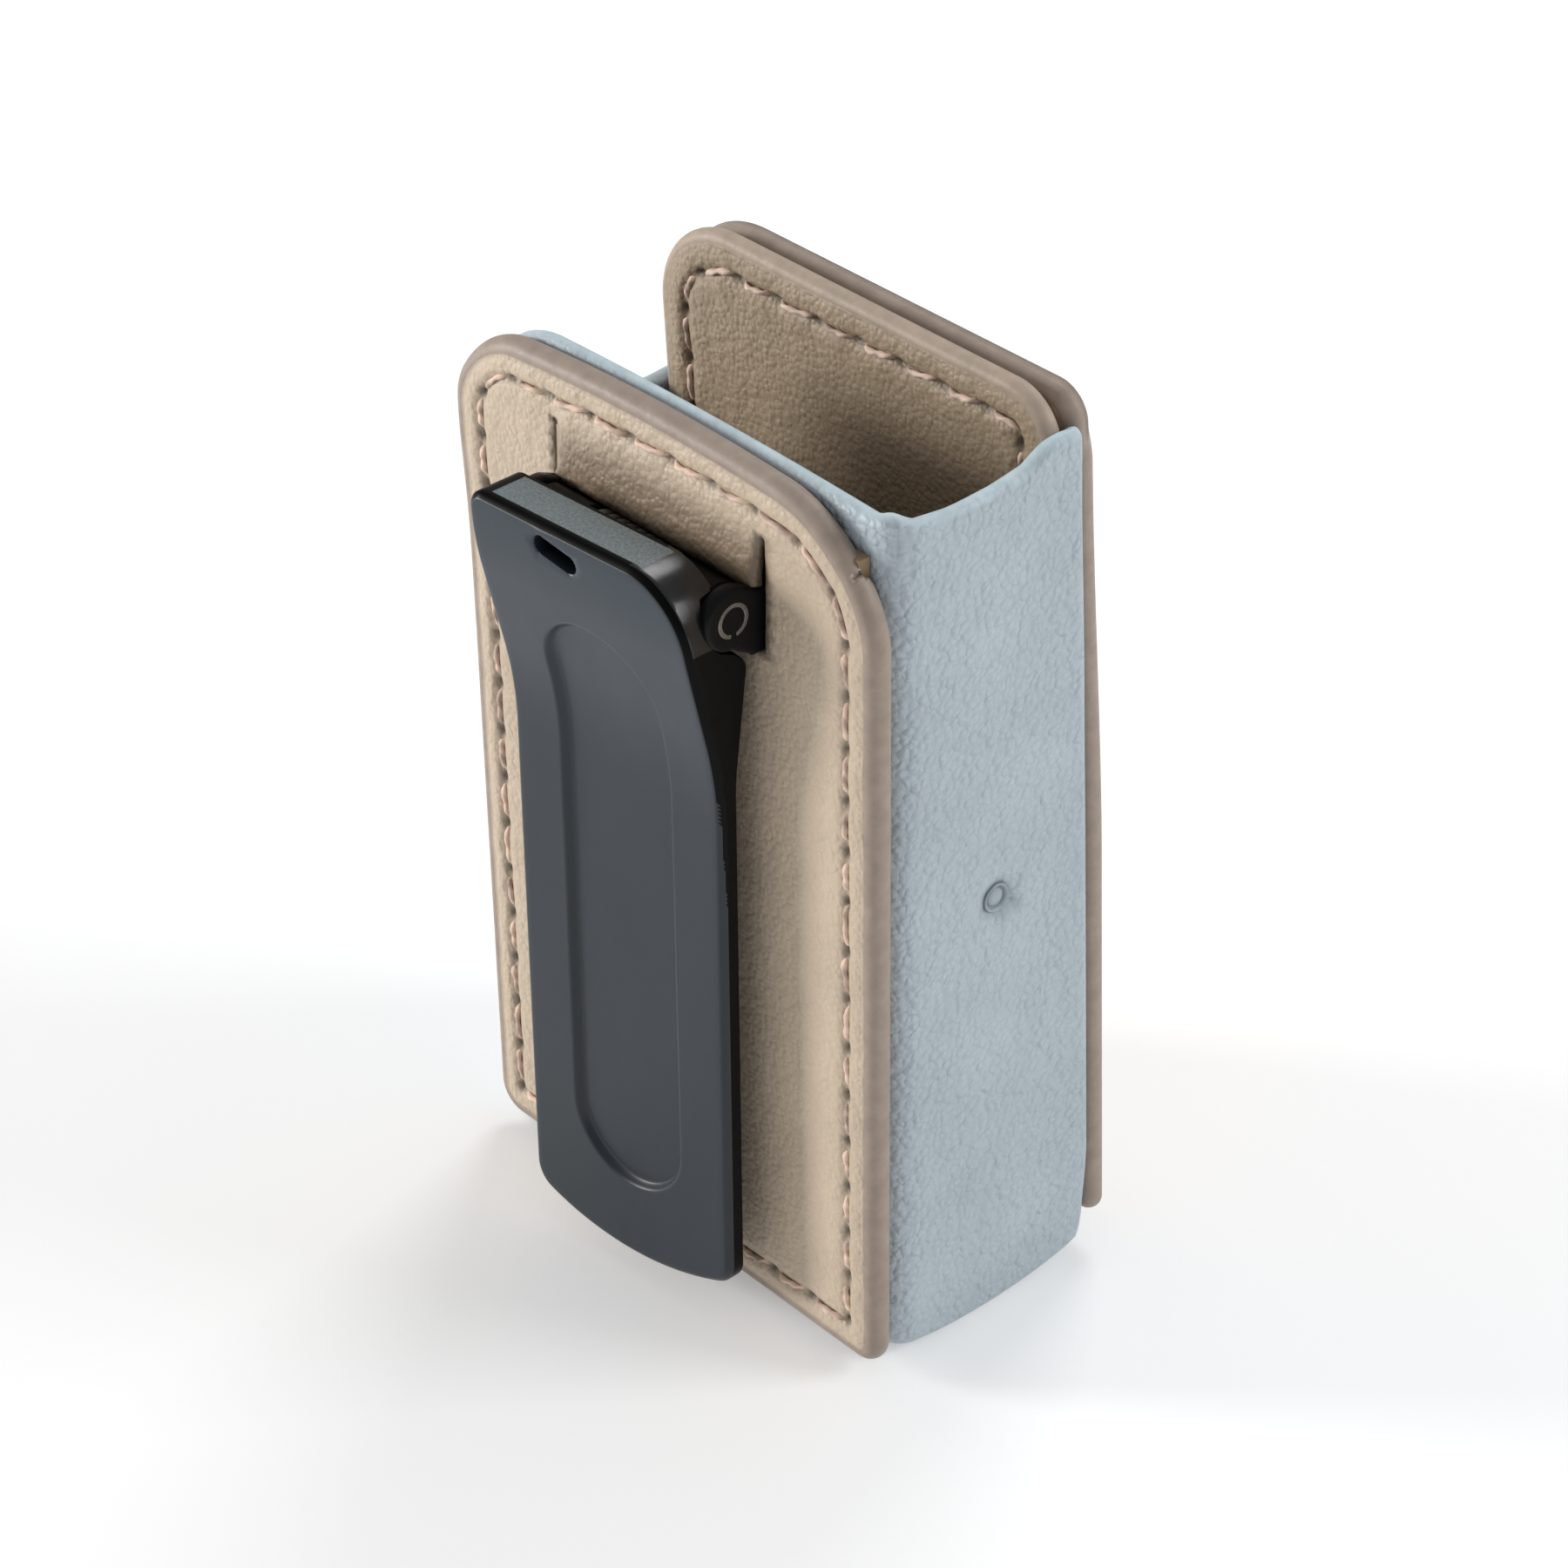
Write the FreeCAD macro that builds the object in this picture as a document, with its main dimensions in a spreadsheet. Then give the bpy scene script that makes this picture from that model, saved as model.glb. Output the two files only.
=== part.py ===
import FreeCAD, Part
import math
import os
import re

import Sketcher
from FreeCAD import Placement, Rotation, Vector

# An open-topped leather pouch with a sprung belt clip on its front.
# Row frame: +Z up, +X to the right seen from the clip side, +Y towards the back.
# The origin is the middle of the sleeve's underside.  Every sub-part is drawn with
# y measured from the front panel's outer face and is then placed back by centre_depth.

SIZES = [
    # front panel
    ("panel_width", 43.0),
    ("panel_base", 0.3),
    ("panel_top", 72.3),
    ("panel_thick", 2.1),
    ("panel_corner", 7.0),
    ("panel_soft_corner", 8.5),
    ("panel_toe", 2.0),
    ("skin_thick", 1.0),
    ("board_thick", 1.0),
    ("board_inset", 2.3),
    # sleeve, floor and lining
    ("centre_depth", 12.5),
    ("sleeve_front", 2.15),
    ("sleeve_back", 22.85),
    ("sleeve_top", 72.4),
    ("left_wall_top", 60.3),
    ("wall_thick", 1.2),
    ("flange_thick", 0.8),
    ("lean", 0.043),
    ("fold_radius", 2.5),
    ("floor_radius", 3.5),
    ("floor_hem", 6.0),
    ("layer_gap", 0.05),
    ("floor_thick", 0.8),
    ("lining_thick", 0.6),
    ("lining_gap", 0.4),
    ("lining_top", 71.0),
    # back panels
    ("inner_width", 40.0),
    ("inner_base", 5.0),
    ("inner_top", 75.1),
    ("inner_thick", 1.6),
    ("inner_depth", 22.0),
    ("inner_corner", 7.0),
    ("inner_small_corner", 5.0),
    ("inner_board", 0.75),
    ("outer_width", 42.2),
    ("outer_base", 2.0),
    ("outer_top", 74.8),
    ("outer_thick", 2.0),
    ("outer_depth", 24.95),
    ("outer_corner", 8.0),
    ("outer_top_corner", 3.0),
    ("outer_small_corner", 1.6),
    ("outer_board", 0.85),
    # stitches
    ("stitch_pitch", 4.3),
    ("stitch_long", 3.3),
    ("stitch_wide", 0.55),
    ("stitch_high", 0.25),
    ("stitch_inset", 3.0),
    # side rivets
    ("rivet_depth", 12.0),
    ("rivet_level", 37.5),
    ("rivet_head", 1.25),
    ("rivet_shank", 0.6),
    ("rivet_high", 0.35),
    ("washer_radius", 1.8),
    ("washer_thick", 0.3),
    # clip base
    ("window_width", 22.0),
    ("window_base", 58.3),
    ("window_top", 63.6),
    ("slit_wide", 0.5),
    ("slit_top", 67.6),
    ("plate_width", 21.4),
    ("plate_base", 52.6),
    ("plate_top", 66.1),
    ("plate_gap", 0.3),
    ("boss_front", 0.1),
    ("pin_out", 2.66),
    ("pin_level", 62.0),
    ("pin_radius", 1.45),
    ("pin_bore", 0.95),
    ("pin_slot", 0.6),
    ("ear_inside", 9.4),
    ("ear_thick", 1.3),
    ("ear_radius", 2.4),
    # lever
    ("lever_width", 21.0),
    ("lever_base", 0.8),
    ("lever_top", 65.8),
    ("face_out", 4.75),
    ("foot_out", 5.05),
    ("flare_out", 7.85),
    ("flare_start", 48.6),
    ("flare_end", 62.3),
    ("flare_radius", 34.0),
    ("brow_radius", 27.0),
    ("arm_thick", 1.65),
    ("block_back", 3.5),
    ("cheek_thick", 1.3),
    ("knuckle_radius", 2.2),
    ("ear_clearance", 2.8),
    ("running_fit", 0.07),
    ("thumb_corner", 2.8),
    ("foot_arc", 24.0),
    ("foot_corner", 2.5),
    ("dish_depth", 0.6),
    ("dish_width", 11.0),
    ("dish_base", 7.8),
    ("dish_top", 58.1),
    ("hole_offset", 1.0),
    ("hole_level", 64.0),
    ("hole_long", 4.0),
    ("hole_high", 1.9),
    ("hole_deep", 2.5),
    # spring
    ("coil_radius", 2.0),
    ("wire_radius", 0.35),
    ("coil_pitch", 0.9),
    ("coil_turns", 8.5),
    ("spring_gap", 9.2),
    ("spring_roof", 65.0),
    ("base_leg", 1.4),
    ("lever_leg", 1.2),
]

doc = FreeCAD.newDocument("belt_clip_pouch")
sheet = doc.addObject("Spreadsheet::Sheet", "Sizes")
for row, (alias, amount) in enumerate(SIZES, start=1):
    sheet.set("A%d" % row, alias)
    sheet.set("B%d" % row, str(amount))
    sheet.setAlias("B%d" % row, alias)
doc.recompute()

LEAST_CUT = 1e-4
SHORTEST_EDGE = 1e-6
SKETCH_PLANES = {"side": "YZ_Plane", "front": "XZ_Plane", "plan": "XY_Plane"}
nodes = []


def linked(text):
    """Turn the aliases in a formula into references to the spreadsheet."""
    return re.sub(r"[a-z_]{2,}(?!\w*\()", lambda word: "Sizes." + word.group(0), str(text))


def value(text):
    """The present value of a formula, in millimetres."""
    result = sheet.evalExpression(linked(text))
    return float(getattr(result, "Value", result))


def place(thing, depth="0", lean="0"):
    """Stand a sub-part in the row frame, leaning its top forwards by `lean`."""
    angle = math.degrees(math.atan(value(lean)))
    thing.Placement = Placement(Vector(0, 0, 0), Rotation(Vector(1, 0, 0), angle))
    thing.setExpression("Placement.Base.y", linked("%s - centre_depth" % depth))
    if lean != "0":
        thing.setExpression("Placement.Rotation.Angle", "atan(%s)" % linked(lean))


def new_body(label, depth="0", lean="0", node=True):
    body = doc.addObject("PartDesign::Body", label)
    body.Label = label
    place(body, depth, lean)
    if node:
        nodes.append(body)
    return body


def new_sketch(body, name, plane, offset="0"):
    """A sketch on one of the body's own origin planes, moved along its normal."""
    sketch = body.newObject("Sketcher::SketchObject", name)
    role = SKETCH_PLANES[plane]
    datum = [item for item in body.Origin.OriginFeatures if item.Role == role][0]
    sketch.AttachmentSupport = [(datum, "")]
    sketch.MapMode = "FlatFace"
    if offset != "0":
        sketch.setExpression("AttachmentOffset.Base.z", linked(offset))
    return sketch


def pin_point(sketch, curve, end, across, up):
    """Hold one point of a sketch at two formulas measured from the sketch's origin."""
    for kind, formula in (("DistanceX", across), ("DistanceY", up)):
        number = sketch.addConstraint(
            Sketcher.Constraint(kind, -1, 1, curve, end, value(formula))
        )
        sketch.setExpression("Constraints[%d]" % number, linked(formula))


def polygon(body, name, plane, corners, offset="0"):
    """A closed outline whose corners are pairs of formulas."""
    sketch = new_sketch(body, name, plane, offset)
    points = [Vector(value(across), value(up), 0) for across, up in corners]
    count = len(points)
    for index in range(count):
        sketch.addGeometry(Part.LineSegment(points[index], points[(index + 1) % count]))
    for index in range(count):
        sketch.addConstraint(
            Sketcher.Constraint("Coincident", index, 2, (index + 1) % count, 1)
        )
    for index, (across, up) in enumerate(corners):
        pin_point(sketch, index, 1, across, up)
    return sketch


def rectangle(body, name, plane, left, right, low, high, offset="0"):
    corners = [(left, low), (right, low), (right, high), (left, high)]
    return polygon(body, name, plane, corners, offset)


def circle(body, name, plane, across, up, radius, offset="0"):
    sketch = new_sketch(body, name, plane, offset)
    centre = Vector(value(across), value(up), 0)
    sketch.addGeometry(Part.Circle(centre, Vector(0, 0, 1), value(radius)))
    number = sketch.addConstraint(Sketcher.Constraint("Radius", 0, value(radius)))
    sketch.setExpression("Constraints[%d]" % number, linked(radius))
    pin_point(sketch, 0, 3, across, up)
    return sketch


def feature(body, kind, name, sketch, length, both=False, reverse=False):
    item = body.newObject("PartDesign::" + kind, name)
    item.Profile = sketch
    item.Midplane = both
    item.Reversed = reverse
    item.setExpression("Length", linked(length))


def pad(body, name, sketch, length, both=False, reverse=False):
    feature(body, "Pad", name, sketch, length, both, reverse)
    doc.recompute()


def pocket(body, name, sketch, length, both=False, reverse=False):
    """A cut that has to take material away."""
    before = body.Shape.Volume
    feature(body, "Pocket", name, sketch, length, both, reverse)
    doc.recompute()
    if body.Shape.Volume > before - LEAST_CUT:
        raise RuntimeError("%s cuts nothing" % name)


def edge_names(shape, wanted):
    """The names of the edges whose middle and direction satisfy `wanted`."""
    names = []
    for number, edge in enumerate(shape.Edges, start=1):
        middle = edge.valueAt((edge.FirstParameter + edge.LastParameter) / 2)
        start = edge.valueAt(edge.FirstParameter)
        end = edge.valueAt(edge.LastParameter)
        along = end - start
        if along.Length > SHORTEST_EDGE:
            along.normalize()
        if wanted(middle, along):
            names.append("Edge%d" % number)
    return names


def round_edges(body, name, wanted, radius):
    """Round the edges of the body's tip that satisfy `wanted`."""
    tip = body.Tip
    names = edge_names(tip.Shape, wanted)
    if not names:
        raise RuntimeError("%s finds no edge" % name)
    item = body.newObject("PartDesign::Fillet", name)
    item.Base = (tip, names)
    item.setExpression("Radius", linked(radius))
    doc.recompute()


def upright_corner(across, level, spread=0.3):
    """Picks the edge along Y that stands at one corner of a panel's outline."""
    x_at, z_at = value(across), value(level)

    def wanted(middle, along):
        near = abs(middle.x - x_at) < spread and abs(middle.z - z_at) < spread
        return near and abs(along.y) > 0.9

    return wanted


def panel(label, width, base, top, front, thick, depth="0", lean="0"):
    """A plain upright board: its outline in front view, its thickness along Y."""
    body = new_body(label, depth, lean)
    outline = rectangle(
        body, label + "_outline", "front",
        "-(%s) / 2" % width, "(%s) / 2" % width, base, top, "-(%s)" % front,
    )
    pad(body, label + "_pad", outline, thick, reverse=True)
    return body


# ---- front panel -------------------------------------------------------------------

front_panel = panel(
    "front_panel", "panel_width", "panel_base", "panel_top", "0", "panel_thick"
)
for side, sign in (("left", "-"), ("right", "")):
    edge_at = sign + "panel_width / 2"
    round_edges(front_panel, "panel_top_" + side, upright_corner(edge_at, "panel_top"),
                "panel_corner" if side == "left" else "panel_soft_corner")
    round_edges(front_panel, "panel_toe_" + side,
                upright_corner(edge_at, "panel_base"), "panel_toe")
hollow = rectangle(
    front_panel, "panel_hollow_outline", "front",
    "board_inset - panel_width / 2", "panel_width / 2 - board_inset",
    "panel_base + board_inset", "panel_top - board_inset - 1", "-panel_thick",
)
pocket(front_panel, "panel_hollow", hollow, "panel_thick - skin_thick", reverse=True)
window = polygon(
    front_panel, "window_outline", "front",
    [
        ("-window_width / 2", "window_base"),
        ("window_width / 2", "window_base"),
        ("window_width / 2", "slit_top"),
        ("window_width / 2 - slit_wide", "slit_top"),
        ("window_width / 2 - slit_wide", "window_top"),
        ("slit_wide - window_width / 2", "window_top"),
        ("slit_wide - window_width / 2", "slit_top"),
        ("-window_width / 2", "slit_top"),
    ],
)
pocket(front_panel, "window", window, "panel_thick")

front_board = panel(
    "front_board", "panel_width - 2 * board_inset - 2 * layer_gap",
    "panel_base + board_inset + layer_gap", "panel_top - board_inset - 1 - layer_gap",
    "skin_thick + layer_gap", "board_thick",
)
board_window = rectangle(
    front_board, "board_window_outline", "front",
    "-plate_width / 2 - plate_gap", "plate_width / 2 + plate_gap",
    "plate_base - plate_gap", "slit_top + plate_gap",
)
pocket(front_board, "board_window", board_window, "panel_thick + 1")

# ---- sleeve ------------------------------------------------------------------------

sleeve = new_body("sleeve")
sleeve_side = polygon(
    sleeve, "sleeve_side", "side",
    [
        ("sleeve_front", "0"),
        ("sleeve_back", "0"),
        ("sleeve_back - lean * sleeve_top", "sleeve_top"),
        ("sleeve_front", "sleeve_top"),
    ],
)
pad(sleeve, "sleeve_block", sleeve_side, "panel_width", both=True)
round_edges(
    sleeve, "floor_fold",
    lambda middle, along: abs(along.x) > 0.9 and middle.z < 0.1 and middle.y > 20,
    "floor_radius",
)
round_edges(
    sleeve, "front_folds",
    lambda middle, along: abs(along.z) > 0.9 and abs(middle.x) > 21 and middle.y < 3,
    "fold_radius",
)
sleeve_hollow = polygon(
    sleeve, "sleeve_hollow_side", "side",
    [
        ("sleeve_front + wall_thick", "wall_thick"),
        ("sleeve_back - floor_radius", "wall_thick"),
        ("sleeve_back - flange_thick - 0.15", "floor_radius + wall_thick"),
        ("sleeve_back - flange_thick - lean * (sleeve_top + 2)", "sleeve_top + 2"),
        ("sleeve_front + wall_thick", "sleeve_top + 2"),
    ],
)
pocket(sleeve, "sleeve_hollow", sleeve_hollow, "panel_width - 2 * wall_thick", both=True)
floor_hole = rectangle(
    sleeve, "floor_hole_outline", "plan",
    "floor_hem - panel_width / 2", "panel_width / 2 - floor_hem",
    "sleeve_front + floor_hem", "sleeve_back - floor_hem",
)
pocket(sleeve, "floor_hole", floor_hole, "2 * wall_thick", both=True)
left_step = rectangle(
    sleeve, "left_step_outline", "front",
    "-panel_width / 2 - 1", "-panel_width / 2 + wall_thick + layer_gap",
    "left_wall_top", "sleeve_top + 1",
)
pocket(sleeve, "left_step", left_step, "4 * sleeve_back", both=True)
round_edges(
    sleeve, "front_wall_corner",
    lambda middle, along: abs(along.y) > 0.9 and middle.x < -20 and middle.z > 72
    and middle.y < 4,
    "panel_corner",
)
rivet_hole = circle(
    sleeve, "rivet_hole_outline", "side", "rivet_depth", "rivet_level",
    "rivet_shank + layer_gap",
)
pocket(sleeve, "rivet_holes", rivet_hole, "panel_width + 2", both=True)

bottom_panel = new_body("bottom_panel")
floor_outline = rectangle(
    bottom_panel, "bottom_panel_outline", "plan",
    "wall_thick + layer_gap - panel_width / 2", "panel_width / 2 - wall_thick - layer_gap",
    "sleeve_front + wall_thick + layer_gap", "sleeve_back - floor_radius",
    "wall_thick + layer_gap",
)
pad(bottom_panel, "bottom_panel_pad", floor_outline, "floor_thick")

bottom_board = new_body("bottom_board")
board_outline = rectangle(
    bottom_board, "bottom_board_outline", "plan",
    "wall_thick + 2 - panel_width / 2", "panel_width / 2 - wall_thick - 2",
    "sleeve_front + wall_thick + 1", "sleeve_back - floor_radius - 1",
    "wall_thick + floor_thick + 2 * layer_gap",
)
pad(bottom_board, "bottom_board_pad", board_outline, "board_thick")

# ---- lining: front, two sides and floor, open at the top and the back ---------------

sleeve_lining = new_body("sleeve_lining")
lining_floor = "wall_thick + floor_thick + board_thick + 3 * layer_gap"
lining_front = "sleeve_front + wall_thick + layer_gap"
lining_back = "inner_depth - inner_thick - 0.1"
lining_width = "panel_width - 2 * wall_thick - 2 * lining_gap"
lining_side = polygon(
    sleeve_lining, "lining_side", "side",
    [
        (lining_front, lining_floor),
        ("%s - lean * (%s)" % (lining_back, lining_floor), lining_floor),
        ("%s - lean * lining_top" % lining_back, "lining_top"),
        (lining_front, "lining_top"),
    ],
)
pad(sleeve_lining, "lining_block", lining_side, lining_width, both=True)
lining_hollow = rectangle(
    sleeve_lining, "lining_hollow_side", "side",
    lining_front + " + lining_thick", "outer_depth + 1",
    lining_floor + " + lining_thick", "lining_top + 2",
)
pocket(sleeve_lining, "lining_hollow", lining_hollow,
       lining_width + " - 2 * lining_thick", both=True)
lining_step = rectangle(
    sleeve_lining, "lining_step_outline", "front",
    "-panel_width / 2", "-(%s) / 2 + lining_thick + layer_gap" % lining_width,
    "left_wall_top - 1.4", "lining_top + 1",
)
pocket(sleeve_lining, "lining_step", lining_step, "4 * sleeve_back", both=True)
round_edges(
    sleeve_lining, "lining_corner",
    lambda middle, along: abs(along.y) > 0.9 and middle.x < -18 and middle.z > 70.5,
    "panel_corner - 1",
)

# ---- back panels: both lean forwards with the sleeve's back ---------------------------


def back_panel(label, prefix, depth, hollow_from_front):
    """A turned-edge panel with a shallow hollow on its hidden side for a board."""
    width, thick = prefix + "_width", prefix + "_thick"
    base, top = prefix + "_base", prefix + "_top"
    board = prefix + "_board"
    front = "-" + thick
    body = panel(label, width, base, top, front, thick, depth, "lean")
    deep = "(%s + 2 * layer_gap)" % board
    start = thick if hollow_from_front else deep
    hollow_outline = rectangle(
        body, label + "_hollow_outline", "front",
        "board_inset - %s / 2" % width, "%s / 2 - board_inset" % width,
        base + " + board_inset", top + " - board_inset - 1", start,
    )
    pocket(body, label + "_hollow", hollow_outline, deep)
    panel(
        label.replace("_panel", "_board"),
        "%s - 2 * board_inset - 2 * layer_gap" % width,
        base + " + board_inset + layer_gap", top + " - board_inset - 1 - layer_gap",
        "-(%s - layer_gap)" % start, board, depth, "lean",
    )
    return body


inner_back_panel = back_panel(
    "inner_back_panel", "inner", "inner_depth", False
)
for side, sign in (("left", "-"), ("right", "")):
    round_edges(inner_back_panel, "inner_top_" + side,
                upright_corner(sign + "inner_width / 2", "inner_top"),
                "inner_corner" if side == "left" else "inner_small_corner")

outer_back_panel = back_panel(
    "outer_back_panel", "outer", "outer_depth", True
)
round_edges(outer_back_panel, "outer_top_left",
            upright_corner("-outer_width / 2", "outer_top"), "outer_corner")
for name, across, level, radius in (
    ("outer_top_right", "outer_width / 2", "outer_top", "outer_top_corner"),
    ("outer_toe_right", "outer_width / 2", "outer_base", "outer_small_corner"),
    ("outer_toe_left", "-outer_width / 2", "outer_base", "outer_small_corner"),
):
    round_edges(outer_back_panel, name, upright_corner(across, level), radius)

# ---- stitches ------------------------------------------------------------------------


def seam_path(half, low, high, left, right):
    """The closed line of a seam, in front view: a rectangle with rounded top corners."""
    middle = math.sqrt(0.5)
    left_top = Vector(-half + left, 0, high - left)
    right_top = Vector(half - right, 0, high - right)
    edges = [
        Part.LineSegment(Vector(-half, 0, low), Vector(-half, 0, high - left)),
        Part.Arc(Vector(-half, 0, high - left),
                 left_top + Vector(-middle, 0, middle) * left, Vector(-half + left, 0, high)),
        Part.LineSegment(Vector(-half + left, 0, high), Vector(half - right, 0, high)),
        Part.Arc(Vector(half - right, 0, high),
                 right_top + Vector(middle, 0, middle) * right, Vector(half, 0, high - right)),
        Part.LineSegment(Vector(half, 0, high - right), Vector(half, 0, low)),
        Part.LineSegment(Vector(half, 0, low), Vector(-half, 0, low)),
    ]
    return Part.Wire([edge.toShape() for edge in edges])


def stitch_row(label, prefix, corners, y_low, depth="0", lean="0"):
    """Separate small stitches spaced evenly along a panel's seam."""
    inset = value("stitch_inset")
    left, right = [max(value(corner) - inset, 0.5) for corner in corners]
    half = value(prefix + "_width / 2") - inset
    low = value(prefix + "_base") + inset
    high = value(prefix + "_top") - inset
    path = seam_path(half, low, high, left, right)
    count = round(path.Length / value("stitch_pitch"))
    size = Vector(value("stitch_long"), value("stitch_high"), value("stitch_wide"))
    spots = path.discretize(Number=4 * count + 1)
    stitches = []
    for index in range(count):
        before, at, after = spots[4 * index + 1:4 * index + 4]
        along = after - before
        turn = math.degrees(math.atan2(along.z, along.x))
        stitch = Part.makeBox(size.x, size.y, size.z, Vector(-size.x / 2, 0, -size.z / 2))
        stitch.rotate(Vector(0, 0, 0), Vector(0, -1, 0), turn)
        stitch.translate(Vector(at.x, y_low, at.z))
        stitches.append(stitch)
    row = doc.addObject("Part::Feature", label)
    row.Label = label
    row.Shape = Part.makeCompound(stitches)
    place(row, depth, lean)
    nodes.append(row)


touch = value("stitch_high")
stitch_row("front_stitching", "panel", ("panel_corner", "panel_soft_corner"), -touch)
stitch_row("inner_back_stitching", "inner", ("inner_corner", "inner_small_corner"),
           -value("inner_thick") - touch, "inner_depth", "lean")
stitch_row("outer_back_stitching", "outer", ("outer_corner", "outer_top_corner"),
           0.0, "outer_depth", "lean")

# ---- side rivets and their washers -----------------------------------------------------


def rod(name, radius, start, length):
    """A cylinder along +X whose near end is at `start`."""
    item = doc.addObject("Part::Cylinder", name)
    item.setExpression("Radius", linked(radius))
    item.setExpression("Height", linked(length))
    item.Placement = Placement(Vector(0, 0, 0), Rotation(Vector(0, 1, 0), 90))
    item.setExpression("Placement.Base.x", linked(start))
    item.setExpression("Placement.Base.y", linked("rivet_depth - centre_depth"))
    item.setExpression("Placement.Base.z", linked("rivet_level"))
    return item


def gather(label, kind, links, property_name="Shapes"):
    item = doc.addObject(kind, label)
    item.Label = label
    setattr(item, property_name, links)
    nodes.append(item)


shank_long = "wall_thick + washer_thick + layer_gap"
rivet_rods = [
    rod("right_head", "rivet_head", "panel_width / 2", "rivet_high"),
    rod("right_shank", "rivet_shank", "panel_width / 2 - %s" % shank_long.replace("+", "-"),
        shank_long),
    rod("left_head", "rivet_head", "-panel_width / 2 - rivet_high", "rivet_high"),
    rod("left_shank", "rivet_shank", "-panel_width / 2", shank_long),
]
gather("side_rivets", "Part::MultiFuse", rivet_rods)

washer_inside = "panel_width / 2 - wall_thick - layer_gap - washer_thick"
washers = []
for side, start in (("right", washer_inside), ("left", "-(%s) - washer_thick" % washer_inside)):
    disc = rod(side + "_washer_disc", "washer_radius", start, "washer_thick")
    hole = rod(side + "_washer_hole", "rivet_shank", start, "washer_thick")
    washer = doc.addObject("Part::Cut", side + "_washer")
    washer.Base = disc
    washer.Tool = hole
    washers.append(washer)
gather("rivet_washers", "Part::Compound", washers, "Links")

# ---- clip base: plate behind the leather, boss in the window, two ears -------------------

clip_base = new_body("clip_base")
plate = rectangle(
    clip_base, "plate_outline", "front", "-plate_width / 2", "plate_width / 2",
    "plate_base", "plate_top", "-(skin_thick + layer_gap)",
)
pad(clip_base, "plate", plate, "board_thick", reverse=True)
boss = rectangle(
    clip_base, "boss_outline", "front", "-plate_width / 2", "plate_width / 2",
    "window_base + 0.1", "window_top - 0.1", "boss_front",
)
pad(clip_base, "boss", boss, "skin_thick + boss_front + 0.5", reverse=True)
for side, sign in (("left", "-"), ("right", "")):
    leftward = side == "left"
    neck = polygon(
        clip_base, side + "_neck_outline", "side",
        [
            ("0.5", "window_base + 0.1"),
            ("0.5", "window_top - 0.1"),
            ("-boss_front", "window_top - 0.1"),
            ("-pin_out", "pin_level + ear_radius"),
            ("-pin_out", "pin_level - ear_radius"),
            ("-1.2", "window_base + 0.4"),
        ],
        sign + "ear_inside",
    )
    pad(clip_base, side + "_neck", neck, "ear_thick", reverse=leftward)
    ear = circle(clip_base, side + "_ear_outline", "side", "-pin_out", "pin_level",
                 "ear_radius", sign + "ear_inside")
    pad(clip_base, side + "_ear", ear, "ear_thick", reverse=leftward)
ear_hole = circle(clip_base, "ear_hole_outline", "side", "-pin_out", "pin_level",
                  "pin_radius")
pocket(clip_base, "ear_holes", ear_hole, "2 * plate_width", both=True)

# ---- pivot pin: a rolled steel tube with an open seam -------------------------------------

pivot_pin = new_body("pivot_pin")
pin_outline = circle(pivot_pin, "pin_outline", "side", "-pin_out", "pin_level", "pin_radius")
pad(pivot_pin, "pin_rod", pin_outline, "2 * (ear_inside + ear_thick)", both=True)
pin_inside = circle(pivot_pin, "pin_inside", "side", "-pin_out", "pin_level", "pin_bore")
pocket(pivot_pin, "pin_tube", pin_inside, "2 * plate_width", both=True)
pin_seam = rectangle(
    pivot_pin, "pin_seam_outline", "side", "-pin_out - pin_slot / 2",
    "-pin_out + pin_slot / 2", "pin_level - 2 * pin_radius", "pin_level",
)
pocket(pivot_pin, "pin_seam", pin_seam, "2 * plate_width", both=True)

# ---- lever --------------------------------------------------------------------------------

lever_body = new_body("lever_solid", node=False)
lever_side = polygon(
    lever_body, "lever_side", "side",
    [
        ("-foot_out", "lever_base"),
        ("-face_out", "flare_start"),
        ("-flare_out", "flare_end"),
        ("-flare_out", "lever_top"),
        ("-block_back", "lever_top"),
        ("-block_back", "pin_level - ear_radius"),
        ("-1.9", "window_base - 0.4"),
        ("-face_out + arm_thick", "flare_start"),
        ("-foot_out + arm_thick", "lever_base"),
    ],
)
pad(lever_body, "lever_block", lever_side, "lever_width", both=True)


def bend_at(level):
    """Picks the bend across the lever's face at one height."""
    height = value(level)

    def wanted(middle, along):
        across = abs(along.x) > 0.9 and abs(middle.z - height) < 0.5
        return across and -12 < middle.y < value("-face_out + dish_depth") + 0.01

    return wanted


round_edges(lever_body, "flare_bend", bend_at("flare_start"), "flare_radius")
round_edges(lever_body, "brow_bend", bend_at("flare_end"), "brow_radius")
channel = polygon(
    lever_body, "channel_side", "side",
    [
        ("-face_out + 1.45", "flare_start + 0.8"),
        ("0.5", "flare_start + 0.8"),
        ("0.5", "pin_level - ear_radius"),
        ("-5.55", "pin_level - ear_radius"),
        ("-4.05", "flare_start + 4"),
    ],
)
pocket(lever_body, "channel", channel, "lever_width - 2 * cheek_thick", both=True)
knuckle = circle(lever_body, "knuckle_outline", "side", "-pin_out", "pin_level",
                 "knuckle_radius")
pad(lever_body, "knuckle", knuckle, "2 * ear_inside - 0.4", both=True)
spring_room = rectangle(
    lever_body, "spring_room_side", "side", "-pin_out - coil_radius - 2 * wire_radius", "1",
    "pin_level - 2 * knuckle_radius", "spring_roof",
)
pocket(lever_body, "spring_room", spring_room, "spring_gap", both=True)
lever_bore = circle(lever_body, "lever_bore_outline", "side", "-pin_out", "pin_level",
                    "pin_radius + running_fit")
pocket(lever_body, "lever_bore", lever_bore, "2 * lever_width", both=True)
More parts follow.
